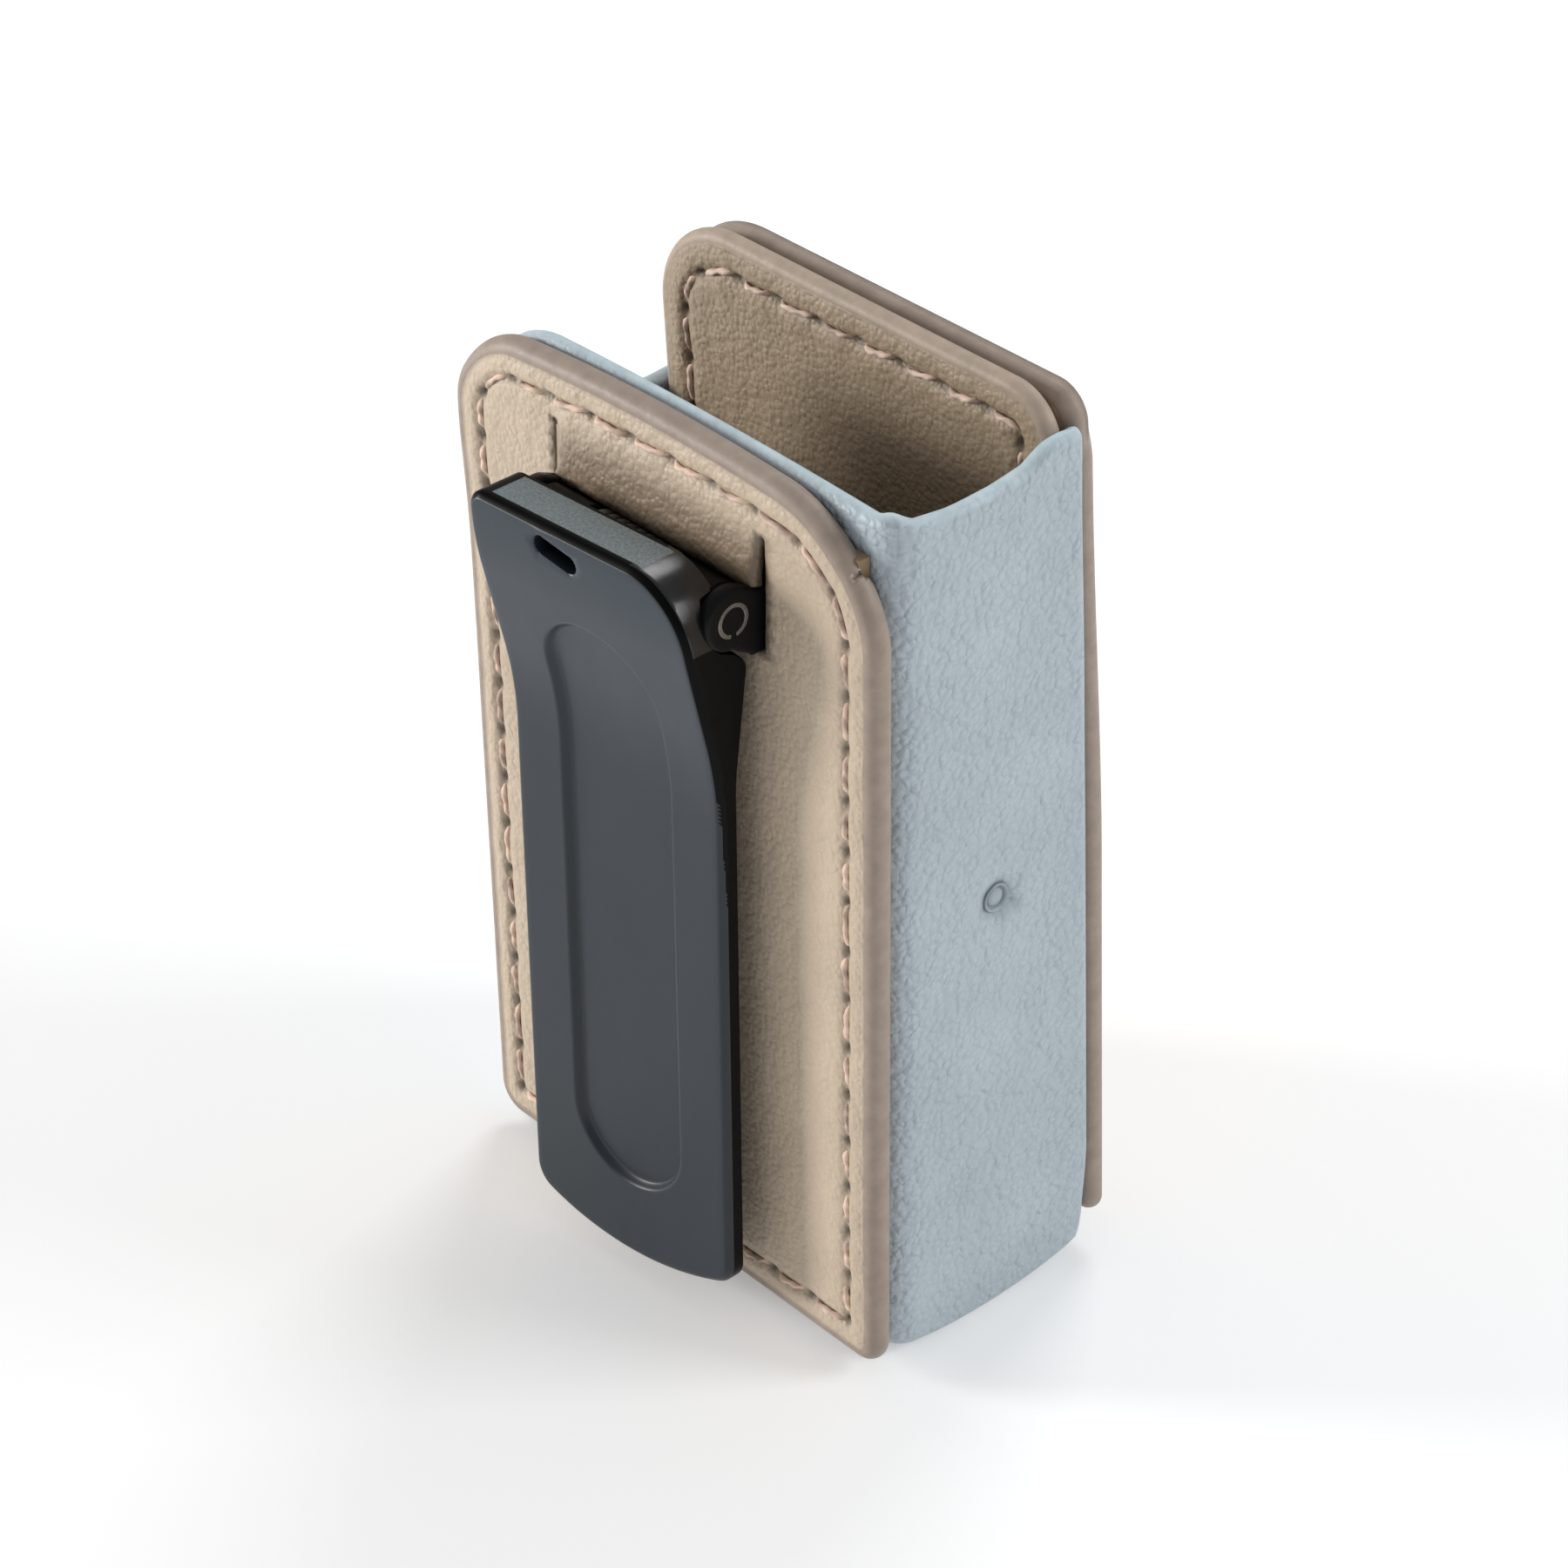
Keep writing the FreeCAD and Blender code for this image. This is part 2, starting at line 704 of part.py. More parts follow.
for side, sign in (("left", "-"), ("right", "")):
    room = circle(lever_body, side + "_ear_room", "side", "-pin_out", "pin_level",
                  "ear_clearance", sign + "(ear_inside - 0.1)")
    pocket(lever_body, side + "_ear_clearance", room, "3", reverse=side == "right")

foot = new_sketch(lever_body, "foot_outline", "front", "2 * foot_out")
half_foot = value("lever_width / 2") + 1
arc_centre = value("lever_base + foot_arc")
rise = arc_centre - math.sqrt(value("foot_arc") ** 2 - half_foot ** 2)
spread = math.asin(half_foot / value("foot_arc"))
foot_circle = Part.Circle(Vector(0, arc_centre, 0), Vector(0, 0, 1), value("foot_arc"))
lowest = 1.5 * math.pi
foot.addGeometry(Part.ArcOfCircle(foot_circle, lowest - spread, lowest + spread))
foot_corners = [Vector(half_foot, rise, 0), Vector(half_foot, -3, 0),
                Vector(-half_foot, -3, 0), Vector(-half_foot, rise, 0)]
for start, end in zip(foot_corners, foot_corners[1:]):
    foot.addGeometry(Part.LineSegment(start, end))
for first, first_end, second in ((0, 2, 1), (1, 2, 2), (2, 2, 3)):
    foot.addConstraint(Sketcher.Constraint("Coincident", first, first_end, second, 1))
foot.addConstraint(Sketcher.Constraint("Coincident", 3, 2, 0, 1))
arc_size = foot.addConstraint(Sketcher.Constraint("Radius", 0, value("foot_arc")))
foot.setExpression("Constraints[%d]" % arc_size, linked("foot_arc"))
pin_point(foot, 0, 3, "0", "lever_base + foot_arc")
for point_on, corner in ((1, foot_corners[1]), (2, foot_corners[2])):
    foot.addConstraint(Sketcher.Constraint("DistanceX", -1, 1, point_on, 2, corner.x))
    foot.addConstraint(Sketcher.Constraint("DistanceY", -1, 1, point_on, 2, corner.y))
foot.addConstraint(Sketcher.Constraint("Vertical", 1))
foot.addConstraint(Sketcher.Constraint("Vertical", 3))
pocket(lever_body, "foot_curve", foot, "4 * foot_out", reverse=True, both=True)


def thumb_corner(middle, along):
    high = middle.z > value("lever_top") - 0.1
    return abs(along.y) > 0.9 and high and abs(middle.x) > value("lever_width / 2") - 0.1


def foot_corner(middle, along):
    low = middle.z < value("lever_base") + 4
    return abs(along.y) > 0.9 and low and abs(middle.x) > value("lever_width / 2") - 0.1


round_edges(lever_body, "thumb_corners", thumb_corner, "thumb_corner")
round_edges(lever_body, "foot_corners", foot_corner, "foot_corner")

# The dish in the face: a round-ended outline, cut to an even depth below the curved face.
dish_prism = new_body("dish_prism", node=False)
dish_outline = rectangle(
    dish_prism, "dish_outline", "front", "-dish_width / 2", "dish_width / 2",
    "dish_base", "dish_top", "12",
)
pad(dish_prism, "dish_bar", dish_outline, "12", reverse=True)
round_edges(dish_prism, "dish_ends", lambda middle, along: abs(along.y) > 0.9,
            "dish_width / 2 - 0.01")
dish_layer = new_body("dish_layer", node=False)
layer_side = polygon(
    dish_layer, "dish_layer_side", "side",
    [
        ("-14", "lever_base - 2"),
        ("-foot_out + dish_depth", "lever_base"),
        ("-face_out + dish_depth", "flare_start"),
        ("-flare_out + dish_depth", "flare_end"),
        ("-flare_out + dish_depth", "lever_top"),
        ("-14", "lever_top"),
    ],
)
pad(dish_layer, "dish_layer_block", layer_side, "2 * lever_width", both=True)
round_edges(dish_layer, "layer_flare", bend_at("flare_start"), "flare_radius")
round_edges(dish_layer, "layer_brow", bend_at("flare_end"), "brow_radius")
dish = doc.addObject("Part::Common", "dish")
dish.Base = dish_prism
dish.Tool = dish_layer

# A small oval hole through the thumb block's face.
hole_prism = new_body("hole_prism", node=False)
hole_outline = rectangle(
    hole_prism, "hole_outline", "front", "-hole_offset - hole_long / 2",
    "-hole_offset + hole_long / 2", "hole_level - hole_high / 2",
    "hole_level + hole_high / 2", "flare_out + 1",
)
pad(hole_prism, "hole_bar", hole_outline, "hole_deep + 1", reverse=True)
round_edges(hole_prism, "hole_ends", lambda middle, along: abs(along.y) > 0.9,
            "hole_high / 2 - 0.01")
lever_cuts = doc.addObject("Part::MultiFuse", "lever_cuts")
lever_cuts.Shapes = [dish, hole_prism]
clip_lever = doc.addObject("Part::Cut", "clip_lever")
clip_lever.Label = "clip_lever"
clip_lever.Base = lever_body
clip_lever.Tool = lever_cuts
nodes.append(clip_lever)

# ---- torsion spring: a coil round the pin with a leg on the base and one on the lever ------


def torsion_spring():
    """The coil along +Z from the origin, each leg a tangent that leaves it along +Y."""
    turns = value("coil_turns")
    pitch = value("coil_pitch")
    radius = value("coil_radius")
    wire = value("wire_radius")
    path = Part.Wire(Part.makeHelix(pitch, pitch * turns, radius))
    section = Part.Wire(Part.makeCircle(wire, Vector(radius, 0, 0), Vector(0, 1, 0)))
    coil = path.makePipeShell([section], True, True)
    upwards = Vector(0, 1, 0)
    base_leg = Part.makeCylinder(wire, value("base_leg"), Vector(radius, 0, 0), upwards)
    far_end = Vector(-radius, 0, pitch * turns)
    lever_leg = Part.makeCylinder(wire, value("lever_leg"), far_end, upwards)
    return coil.fuse([base_leg, lever_leg])


spring = doc.addObject("Part::Feature", "torsion_spring")
spring.Label = "torsion_spring"
spring.Shape = torsion_spring()
spring.Placement = Placement(
    Vector(value("-coil_pitch * coil_turns / 2"), value("-pin_out - centre_depth"),
           value("pin_level")),
    Rotation(Vector(0, 1, 0), Vector(0, 0, 1), Vector(1, 0, 0), "XYZ"),
)
nodes.append(spring)

# ---- check and write -------------------------------------------------------------------------

doc.recompute()
for item in doc.Objects:
    if "Invalid" in item.State or "Error" in item.State:
        raise RuntimeError("%s is not valid: %s" % (item.Label, item.State))
os.makedirs("parts", exist_ok=True)
for node in nodes:
    shape = node.Shape
    if shape.isNull() or not shape.isValid() or not shape.Solids:
        raise RuntimeError("%s has no valid solid" % node.Label)
for node in nodes:
    node.Shape.exportStep("parts/%s.step" % node.Label)
    print("%-22s %3d solids %9.1f mm3" % (node.Label, len(node.Shape.Solids),
                                          node.Shape.Volume))
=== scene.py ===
import math
import random

import bpy
import bmesh
import numpy as np
from mathutils import Matrix, Vector
from mathutils.geometry import delaunay_2d_cdt
from mathutils.kdtree import KDTree


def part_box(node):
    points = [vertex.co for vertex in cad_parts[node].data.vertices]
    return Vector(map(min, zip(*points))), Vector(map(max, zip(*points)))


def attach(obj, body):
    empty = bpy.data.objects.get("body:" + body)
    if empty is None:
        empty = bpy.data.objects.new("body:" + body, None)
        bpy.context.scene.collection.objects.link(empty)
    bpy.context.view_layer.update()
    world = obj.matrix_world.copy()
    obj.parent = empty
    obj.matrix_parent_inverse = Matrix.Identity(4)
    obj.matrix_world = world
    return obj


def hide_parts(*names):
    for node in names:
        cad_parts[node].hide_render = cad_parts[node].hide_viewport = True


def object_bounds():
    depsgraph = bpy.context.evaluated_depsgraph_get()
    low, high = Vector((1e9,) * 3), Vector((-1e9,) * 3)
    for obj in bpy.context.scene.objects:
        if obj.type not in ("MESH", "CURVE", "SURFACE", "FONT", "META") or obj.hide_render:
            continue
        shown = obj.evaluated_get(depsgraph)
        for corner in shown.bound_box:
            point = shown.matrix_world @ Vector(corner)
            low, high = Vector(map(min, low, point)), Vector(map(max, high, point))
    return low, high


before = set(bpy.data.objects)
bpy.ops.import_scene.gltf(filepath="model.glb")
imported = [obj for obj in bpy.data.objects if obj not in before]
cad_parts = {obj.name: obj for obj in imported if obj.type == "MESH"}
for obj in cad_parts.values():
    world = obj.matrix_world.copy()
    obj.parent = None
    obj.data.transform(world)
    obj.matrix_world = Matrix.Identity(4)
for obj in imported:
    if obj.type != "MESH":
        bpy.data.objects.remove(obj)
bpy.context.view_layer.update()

# A leather pouch with a sprung belt clip.  Lengths are in millimetres until a mesh is made.
MM = 0.001
LEAN = math.atan(0.043)


def node_box(name):
    """The lowest and highest corner of a CAD node, in millimetres."""
    low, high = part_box(name)
    return np.array(low) / MM, np.array(high) / MM


# ---- small number helpers ----


def smooth(value):
    """0 below 0, 1 above 1, and an even turn between."""
    value = np.clip(value, 0.0, 1.0)
    return value * value * (3 - 2 * value)


def hump(value, middle, width):
    return np.exp(-(((value - middle) / width) ** 2))


def waves(x, z, size, seed, count=7):
    """A gentle uneven surface, about -1 to 1, whose swells are about `size` long."""
    draw = random.Random(seed)
    total = np.zeros_like(x, float)
    for _ in range(count):
        angle = draw.uniform(0, math.tau)
        pace = math.tau / (size * draw.uniform(0.6, 1.6))
        shift = draw.uniform(0, math.tau)
        total += np.sin((x * math.cos(angle) + z * math.sin(angle)) * pace + shift)
    return total / count * 1.6


# ---- outlines ----


def spaced(points, step):
    """A closed outline with extra points, so that no two are further apart than `step`."""
    points = np.asarray(points, float)
    result = []
    for start, end in zip(points, np.roll(points, -1, axis=0)):
        gap = np.hypot(*(end - start))
        if gap < 1e-6:
            continue
        parts = max(1, math.ceil(gap / step))
        for part in range(parts):
            result.append(start + (end - start) * part / parts)
    return np.array(result)


def arc(centre, radius, start, end, step=0.3):
    """Points of an arc, with its angles in degrees."""
    turn = math.radians(end - start)
    parts = max(2, math.ceil(abs(turn) * radius / step))
    angles = math.radians(start) + turn * np.arange(parts + 1) / parts
    x, z = centre
    return [(x + radius * math.cos(a), z + radius * math.sin(a)) for a in angles]


def rounded_loop(rect, radii, step=0.45):
    """A rectangle with its own radius at bottom left, bottom right, top right, top left."""
    x0, x1, z0, z1 = rect
    bl, br, tr, tl = radii
    points = arc((x0 + bl, z0 + bl), bl, 180, 270)
    points += arc((x1 - br, z0 + br), br, 270, 360)
    points += arc((x1 - tr, z1 - tr), tr, 0, 90)
    points += arc((x0 + tl, z1 - tl), tl, 90, 180)
    return spaced(points, step)


def inset_loop(rect, radii, inset, step=0.45):
    x0, x1, z0, z1 = rect
    smaller = (x0 + inset, x1 - inset, z0 + inset, z1 - inset)
    return rounded_loop(smaller, [max(r - inset, 0.25) for r in radii], step)


def edge_distance(x, z, rect, radii):
    """How far each point is inside a rounded rectangle."""
    x0, x1, z0, z1 = rect
    bl, br, tr, tl = radii
    across, up = (x0 + x1) / 2, (z0 + z1) / 2
    radius = np.where(x < across, np.where(z < up, bl, tl), np.where(z < up, br, tr))
    qx = np.abs(x - across) - (x1 - x0) / 2 + radius
    qz = np.abs(z - up) - (z1 - z0) / 2 + radius
    outside = np.hypot(np.maximum(qx, 0), np.maximum(qz, 0))
    return radius - outside - np.minimum(np.maximum(qx, qz), 0)


def rolled(depth, radius):
    """How far a quarter-round edge falls back at each depth inside the outline."""
    short = np.maximum(radius - depth, 0)
    return radius - np.sqrt(radius**2 - short**2)


def slot_distance(x, z, start, end, radius):
    """How far each point is inside a round-ended slot."""
    start, end = np.array(start, float), np.array(end, float)
    run = end - start
    along = ((x - start[0]) * run[0] + (z - start[1]) * run[1]) / (run @ run)
    along = np.clip(along, 0, 1)
    gap = np.hypot(x - start[0] - along * run[0], z - start[1] - along * run[1])
    return radius - gap


def slot_loop(start, end, radius, step=0.3):
    """The outline of a round-ended slot."""
    turn = math.degrees(math.atan2(end[1] - start[1], end[0] - start[0]))
    points = arc(end, radius, turn - 90, turn + 90)
    points += arc(start, radius, turn + 90, turn + 270)
    return spaced(points, step)


def shifted_loop(loop, inset):
    """A smooth anticlockwise outline moved inwards along its normals."""
    along = np.roll(loop, -1, axis=0) - np.roll(loop, 1, axis=0)
    along /= np.linalg.norm(along, axis=1)[:, None]
    inward = np.stack([-along[:, 1], along[:, 0]], axis=1)
    return loop + inward * inset


def inside(loop, x, z):
    """Which points lie inside a closed outline."""
    found = np.zeros(len(x), bool)
    for (ax, az), (bx, bz) in zip(loop, np.roll(loop, -1, axis=0)):
        if az == bz:
            continue
        crosses = (az > z) != (bz > z)
        found ^= crosses & (x < ax + (z - az) * (bx - ax) / (bz - az))
    return found


def nearest(points, x, z):
    """Distance to, and index of, the nearest of `points`."""
    tree = KDTree(len(points))
    for index, (px, pz) in enumerate(points):
        tree.insert((px, pz, 0), index)
    tree.balance()
    hits = [tree.find((a, b, 0)) for a, b in zip(x, z)]
    return np.array([hit[2] for hit in hits]), np.array([hit[1] for hit in hits])


# ---- flat triangulations and the solids made from them ----


def triangulate(loops, spacing, holes=()):
    """Triangles inside loops[0] and outside the holes that keep every loop as edges."""
    points, edges, spans = [], [], []
    for loop in [*loops, *holes]:
        first, count = len(points), len(loop)
        points += [tuple(p) for p in loop]
        edges += [(first + i, first + (i + 1) % count) for i in range(count)]
        spans.append(range(first, first + count))
    low, high = loops[0].min(axis=0), loops[0].max(axis=0)
    rows = np.arange(low[1], high[1], spacing * 0.87)
    grid = []
    for number, row in enumerate(rows):
        shift = spacing / 2 * (number % 2)
        grid += [(x, row) for x in np.arange(low[0] + shift, high[0], spacing)]
    grid = np.array(grid)
    gap, _ = nearest(points, grid[:, 0], grid[:, 1])
    keep = (gap > spacing * 0.55) & inside(loops[0], grid[:, 0], grid[:, 1])
    points += [tuple(p) for p in grid[keep]]
    result = delaunay_2d_cdt([Vector(p) for p in points], edges, [], 1, 1e-5)
    flat = np.array([tuple(p) for p in result[0]])
    faces = np.array([face for face in result[2] if len(face) == 3])
    middle = flat[faces].mean(axis=1)
    good = inside(loops[0], middle[:, 0], middle[:, 1])
    for hole in holes:
        good &= ~inside(hole, middle[:, 0], middle[:, 1])
    now = {}
    for number, originals in enumerate(result[3]):
        for original in originals:
            now[original] = number
    borders = [[now[i] for i in span] for span in spans]
    return flat, faces[good], borders[0], borders[len(loops):]


def new_piece(name, verts, faces, material, marks=None, sharp=None, slots=None):
    """A mesh object from points in millimetres, with per-point marks for its material.

    material is one material, or a list that `slots` chooses from, face by face."""
    mesh = bpy.data.meshes.new(name)
    mesh.from_pydata([tuple(v) for v in np.asarray(verts) * MM], [], faces)
    for key, values in (marks or {}).items():
        layer = mesh.attributes.new(key, "FLOAT", "POINT")
        layer.data.foreach_set("value", np.asarray(values, np.float32))
    work = bmesh.new()
    work.from_mesh(mesh)
    loose = [v for v in work.verts if not v.link_faces]
    bmesh.ops.delete(work, geom=loose, context="VERTS")
    bmesh.ops.recalc_face_normals(work, faces=work.faces)
    work.to_mesh(mesh)
    work.free()
    mesh.polygons.foreach_set("use_smooth", [True] * len(mesh.polygons))
    if sharp:
        mesh.set_sharp_from_angle(angle=math.radians(sharp))
    for choice in material if isinstance(material, list) else [material]:
        mesh.materials.append(choice)
    if slots is not None:
        mesh.polygons.foreach_set("material_index", [int(slot) for slot in slots])
    piece = bpy.data.objects.new(name, mesh)
    bpy.context.scene.collection.objects.link(piece)
    return piece


def slab(flat, faces, outline, cuts, front, back, bridged, between=()):
    """Two skins, `front` and `back` (depths along +Y), that meet or are bridged at the rim.

    `between` gives the shares of the thickness at which the bridge has more rows."""
    count = len(flat)
    verts = np.concatenate([
        np.stack([flat[:, 0], front, flat[:, 1]], axis=1),
        np.stack([flat[:, 0], back, flat[:, 1]], axis=1),
    ])
    twin = np.arange(count) + count
    if not bridged:
        twin[outline] = outline
    solid = [tuple(face) for face in faces]
    solid += [tuple(twin[face[::-1]]) for face in faces]
    for loop in ([outline] if bridged else []) + cuts:
        rings = [list(loop)]
        for share in between:
            rings.append(list(range(len(verts), len(verts) + len(loop))))
            row = verts[loop] * (1 - share) + verts[twin[loop]] * share
            verts = np.concatenate([verts, row])
        rings.append(list(twin[loop]))
        for near, far in zip(rings, rings[1:]):
            for k in range(len(loop)):
                solid.append((near[k - 1], near[k], far[k], far[k - 1]))
    return verts, solid


def revolve(profile, centre, start=0.0, end=360.0, parts=48):
    """A closed profile of (radius, x) turned about the X axis through centre."""
    whole = end - start >= 360
    steps = parts if whole else parts + 1
    angles = [math.radians(start + (end - start) * k / parts) for k in range(steps)]
    verts = [
        (centre[0] + x, centre[1] + r * math.cos(a), centre[2] + r * math.sin(a))
        for a in angles
        for r, x in profile
    ]
    size = len(profile)
    faces = grid_faces(steps, size, wrap_rows=whole)
    if not whole:
        faces += end_faces(steps, size)
    return np.array(verts), faces


def grid_faces(rows, columns, wrap_rows=False, wrap_columns=True, start=0):
    """Faces of a grid of points that are listed row by row from number `start`."""
    faces = []
    for row in range(rows if wrap_rows else rows - 1):
        near, far = start + row * columns, start + (row + 1) % rows * columns
        for i in range(columns if wrap_columns else columns - 1):
            j = (i + 1) % columns
            faces.append((near + i, near + j, far + j, far + i))
    return faces


def end_faces(rows, columns):
    """The two faces that close a tube of points listed row by row."""
    return [tuple(range(columns)), tuple(range((rows - 1) * columns, rows * columns))]


def joined(parts):
    """Several (verts, faces) as one."""
    verts, faces, start = [], [], 0
    for part_verts, part_faces in parts:
        verts.append(part_verts)
        faces += [tuple(int(i) + start for i in face) for face in part_faces]
        start += len(part_verts)
    return np.concatenate(verts), faces


# ---- materials ----


def colour(*screen):
    """Linear colour from 8-bit screen values."""
    parts = [part / 255 for part in screen]
    low = [part / 12.92 for part in parts]
    high = [((part + 0.055) / 1.055) ** 2.4 for part in parts]
    return (*(a if part <= 0.04045 else b for part, a, b in zip(parts, low, high)), 1.0)


def toned(tone, share, more=0.0):
    """A colour made lighter or darker."""
    return tuple(min(1.0, part * share + more) for part in tone[:3]) + (1.0,)


class Nodes:
    """Shorthand for building one material's node tree."""

    def __init__(self, name, **settings):
        self.material = bpy.data.materials.new(name)
        self.material.use_nodes = True
        self.tree = self.material.node_tree
        self.shader = self.tree.nodes["Principled BSDF"]
        for key, value in settings.items():
            self.shader.inputs[key.replace("_", " ")].default_value = value
        self.place = self.add("ShaderNodeTexCoord", {}).outputs["Object"]

    def add(self, kind, inputs, **settings):
        """Add a node; each of its inputs takes a number, a colour or another node's socket."""
        node = self.tree.nodes.new(kind)
        for key, value in settings.items():
            setattr(node, key, value)
        for key, value in inputs.items():
            if hasattr(value, "is_output"):
                self.tree.links.new(value, node.inputs[key])
            else:
                node.inputs[key].default_value = value
        return node

    def noise(self, size, detail=3.0, roughness=0.55, stretch=(1.0, 1.0, 1.0)):
        place = self.place
        if stretch != (1.0, 1.0, 1.0):
            mapping = self.add("ShaderNodeMapping", {"Vector": place, "Scale": stretch})
            place = mapping.outputs["Vector"]
        node = self.add("ShaderNodeTexNoise", {
            "Vector": place, "Scale": 1 / (size * MM), "Detail": detail, "Roughness": roughness})
        return node.outputs["Fac"]

    def cells(self, size, feature="F1", warp=0.25):
        """Pebbles about `size` across, whose places are bent by a little noise."""
        bend = self.add("ShaderNodeTexNoise", {
            "Vector": self.place, "Scale": 1 / (size * 1.7 * MM)})
        push = self.add("ShaderNodeVectorMath", {
            0: bend.outputs["Color"], 1: (warp * size * MM * 4,) * 3, 2: self.place,
        }, operation="MULTIPLY_ADD")
        node = self.add("ShaderNodeTexVoronoi", {
            "Vector": push.outputs["Vector"], "Scale": 1 / (size * MM)}, feature=feature)
        return node.outputs["Distance"]

    def ramp(self, source, low, high, start=0.0, end=1.0):
        """Map low..high of a number onto start..end."""
        node = self.add("ShaderNodeMapRange", {
            "Value": source, "From Min": low, "From Max": high, "To Min": start, "To Max": end})
        return node.outputs["Result"]

    def mark(self, name):
        return self.add("ShaderNodeAttribute", {}, attribute_name=name).outputs["Fac"]

    def product(self, first, second):
        node = self.add("ShaderNodeMath", {0: first, 1: second}, operation="MULTIPLY")
        return node.outputs["Value"]

    def mix(self, amount, first, second):
        """Colours or colour sockets mixed by a number socket."""
        node = self.add("ShaderNodeMix", {0: amount, 6: first, 7: second}, data_type="RGBA")
        return node.outputs[2]

    def finish(self, base, rough=None, heights=()):
        """Link colour and roughness, and stack bumps given as (height, strength, mm)."""
        found = {"Base Color": base, "Roughness": rough}
        for height, strength, depth in heights:
            inputs = {"Height": height, "Strength": strength, "Distance": depth * MM}
            if "Normal" in found:
                inputs["Normal"] = found["Normal"]
            found["Normal"] = self.add("ShaderNodeBump", inputs).outputs["Normal"]
        for key, source in found.items():
            if source is not None:
                self.tree.links.new(source, self.shader.inputs[key])
        return self.material


def leather(name, face, edge, grain, rough, depth):
    """Pebbled leather.  Marks: edge = edge paint on the panels, and a painted highlight along the
    sleeve's rim; dark = painted shade in seam grooves, stitch holes, slits, at the hem's inner
    edge and round the rivets; tone = a darker brown on the raised tab, painted shade with some
    wear.
    """
    nodes = Nodes(name, Specular_IOR_Level=0.42)
    pebble = nodes.cells(grain)
    fine = nodes.noise(grain * 0.35, 2.0)
    crease = nodes.cells(grain * 2.4, "SMOOTH_F1", 0.5)
    cloud = nodes.ramp(nodes.noise(9.0, 4.0), 0.3, 0.7)
    base = nodes.mix(cloud, toned(face, 0.92), toned(face, 1.07))
    streak = nodes.ramp(nodes.noise(2.2, 3.0), 0.35, 0.75, 0.0, 0.5)
    base = nodes.mix(streak, base, face)
    valley = nodes.ramp(pebble, 0.35, 0.85, 0.0, 0.12)
    base = nodes.mix(valley, base, toned(face, 0.68))
    # The edge mark is edge paint on the panels; on the sleeve's rim the same lighter colour is a
    # painted highlight.
    edge_paint_and_highlight = nodes.mark("edge")
    worn = nodes.ramp(nodes.noise(1.3, 3.0), 0.35, 0.7)
    base = nodes.mix(edge_paint_and_highlight, base, nodes.mix(worn, edge, toned(edge, 1.2)))
    # Painted shade with some wear: the raised tab turns a darker brown.
    tab_shade_brown = (face[0] * 0.45, face[1] * 0.4, face[2] * 0.35, 1.0)
    base = nodes.mix(nodes.mark("tone"), base, tab_shade_brown)
    # Painted shade: the dark mark darkens seams, stitch holes, slits, the hem's inner edge and
    # the leather round the rivets.
    base = nodes.mix(nodes.mark("dark"), base, toned(face, 0.2))
    gloss = nodes.ramp(fine, 0.3, 0.7, rough - 0.06, rough + 0.07)
    calm = nodes.ramp(edge_paint_and_highlight, 0.0, 1.0, 1.0, 0.12)
    height = nodes.product(nodes.ramp(pebble, 0.15, 0.8, 1.0, 0.0), calm)
    fold = nodes.product(nodes.ramp(crease, 0.1, 0.9, 1.0, 0.0), calm)
    return nodes.finish(base, gloss, [(fold, 0.9, depth * 2.0), (height, 1.0, depth * 1.4),
                                      (fine, 0.25, depth * 0.2)])


def satin(name, tone, rough, speckle, grain=0.12, shine=0.5):
    """A fine even grain with faint rubs.  Marks: edge = paler, a painted sheen; dark = painted
    shade along dark edges, in holes and in grooves.
    """
    nodes = Nodes(name, Specular_IOR_Level=shine)
    fine = nodes.noise(grain, 2.0)
    rubs_and_sheen = nodes.noise(5.0, 5.0, 0.65, (1.0, 1.0, 0.35))
    base = nodes.mix(nodes.ramp(fine, 0.35, 0.7), tone, toned(tone, 1 + speckle))
    # Painted sheen: the edge mark pales the colour.
    painted_sheen = nodes.ramp(nodes.mark("edge"), 0.0, 1.0, 0.0, 0.7)
    base = nodes.mix(painted_sheen, base, toned(tone, 2.0, 0.002))
    base = nodes.mix(nodes.mark("dark"), base, toned(tone, 0.15))
    gloss = nodes.ramp(rubs_and_sheen, 0.3, 0.75, rough - 0.05, rough + 0.07)
    return nodes.finish(base, gloss, [(fine, 0.22, 0.012), (rubs_and_sheen, 0.08, 0.05)])


def metal(name, tone, rough):
    nodes = Nodes(name, Metallic=1.0)
    brushed = nodes.noise(0.25, 3.0, 0.6)
    stain = nodes.ramp(nodes.noise(1.8, 4.0), 0.4, 0.7)
    base = nodes.mix(stain, tone, toned(tone, 0.6))
    gloss = nodes.ramp(brushed, 0.3, 0.7, rough - 0.08, rough + 0.12)
    return nodes.finish(base, gloss, [(brushed, 0.2, 0.02)])


def thread(name, tone):
    nodes = Nodes(name, Roughness=0.62, Sheen_Weight=0.25)
    fibre = nodes.noise(0.12, 3.0, 0.6)
    change = nodes.ramp(nodes.noise(2.6, 2.0), 0.38, 0.55)
    base = nodes.mix(change, toned(tone, 0.4), toned(tone, 1.25))
    base = nodes.mix(nodes.ramp(fibre, 0.3, 0.75, 0.0, 0.6), base, tone)
    return nodes.finish(base, None, [(fibre, 0.5, 0.04)])


def fibreboard(name, tone):
    nodes = Nodes(name, Roughness=0.85)
    fibre = nodes.noise(0.5, 5.0, 0.7, (1.0, 1.0, 0.25))
    base = nodes.mix(nodes.ramp(fibre, 0.3, 0.7), toned(tone, 0.75), tone)
    return nodes.finish(base, None, [(fibre, 0.4, 0.06)])


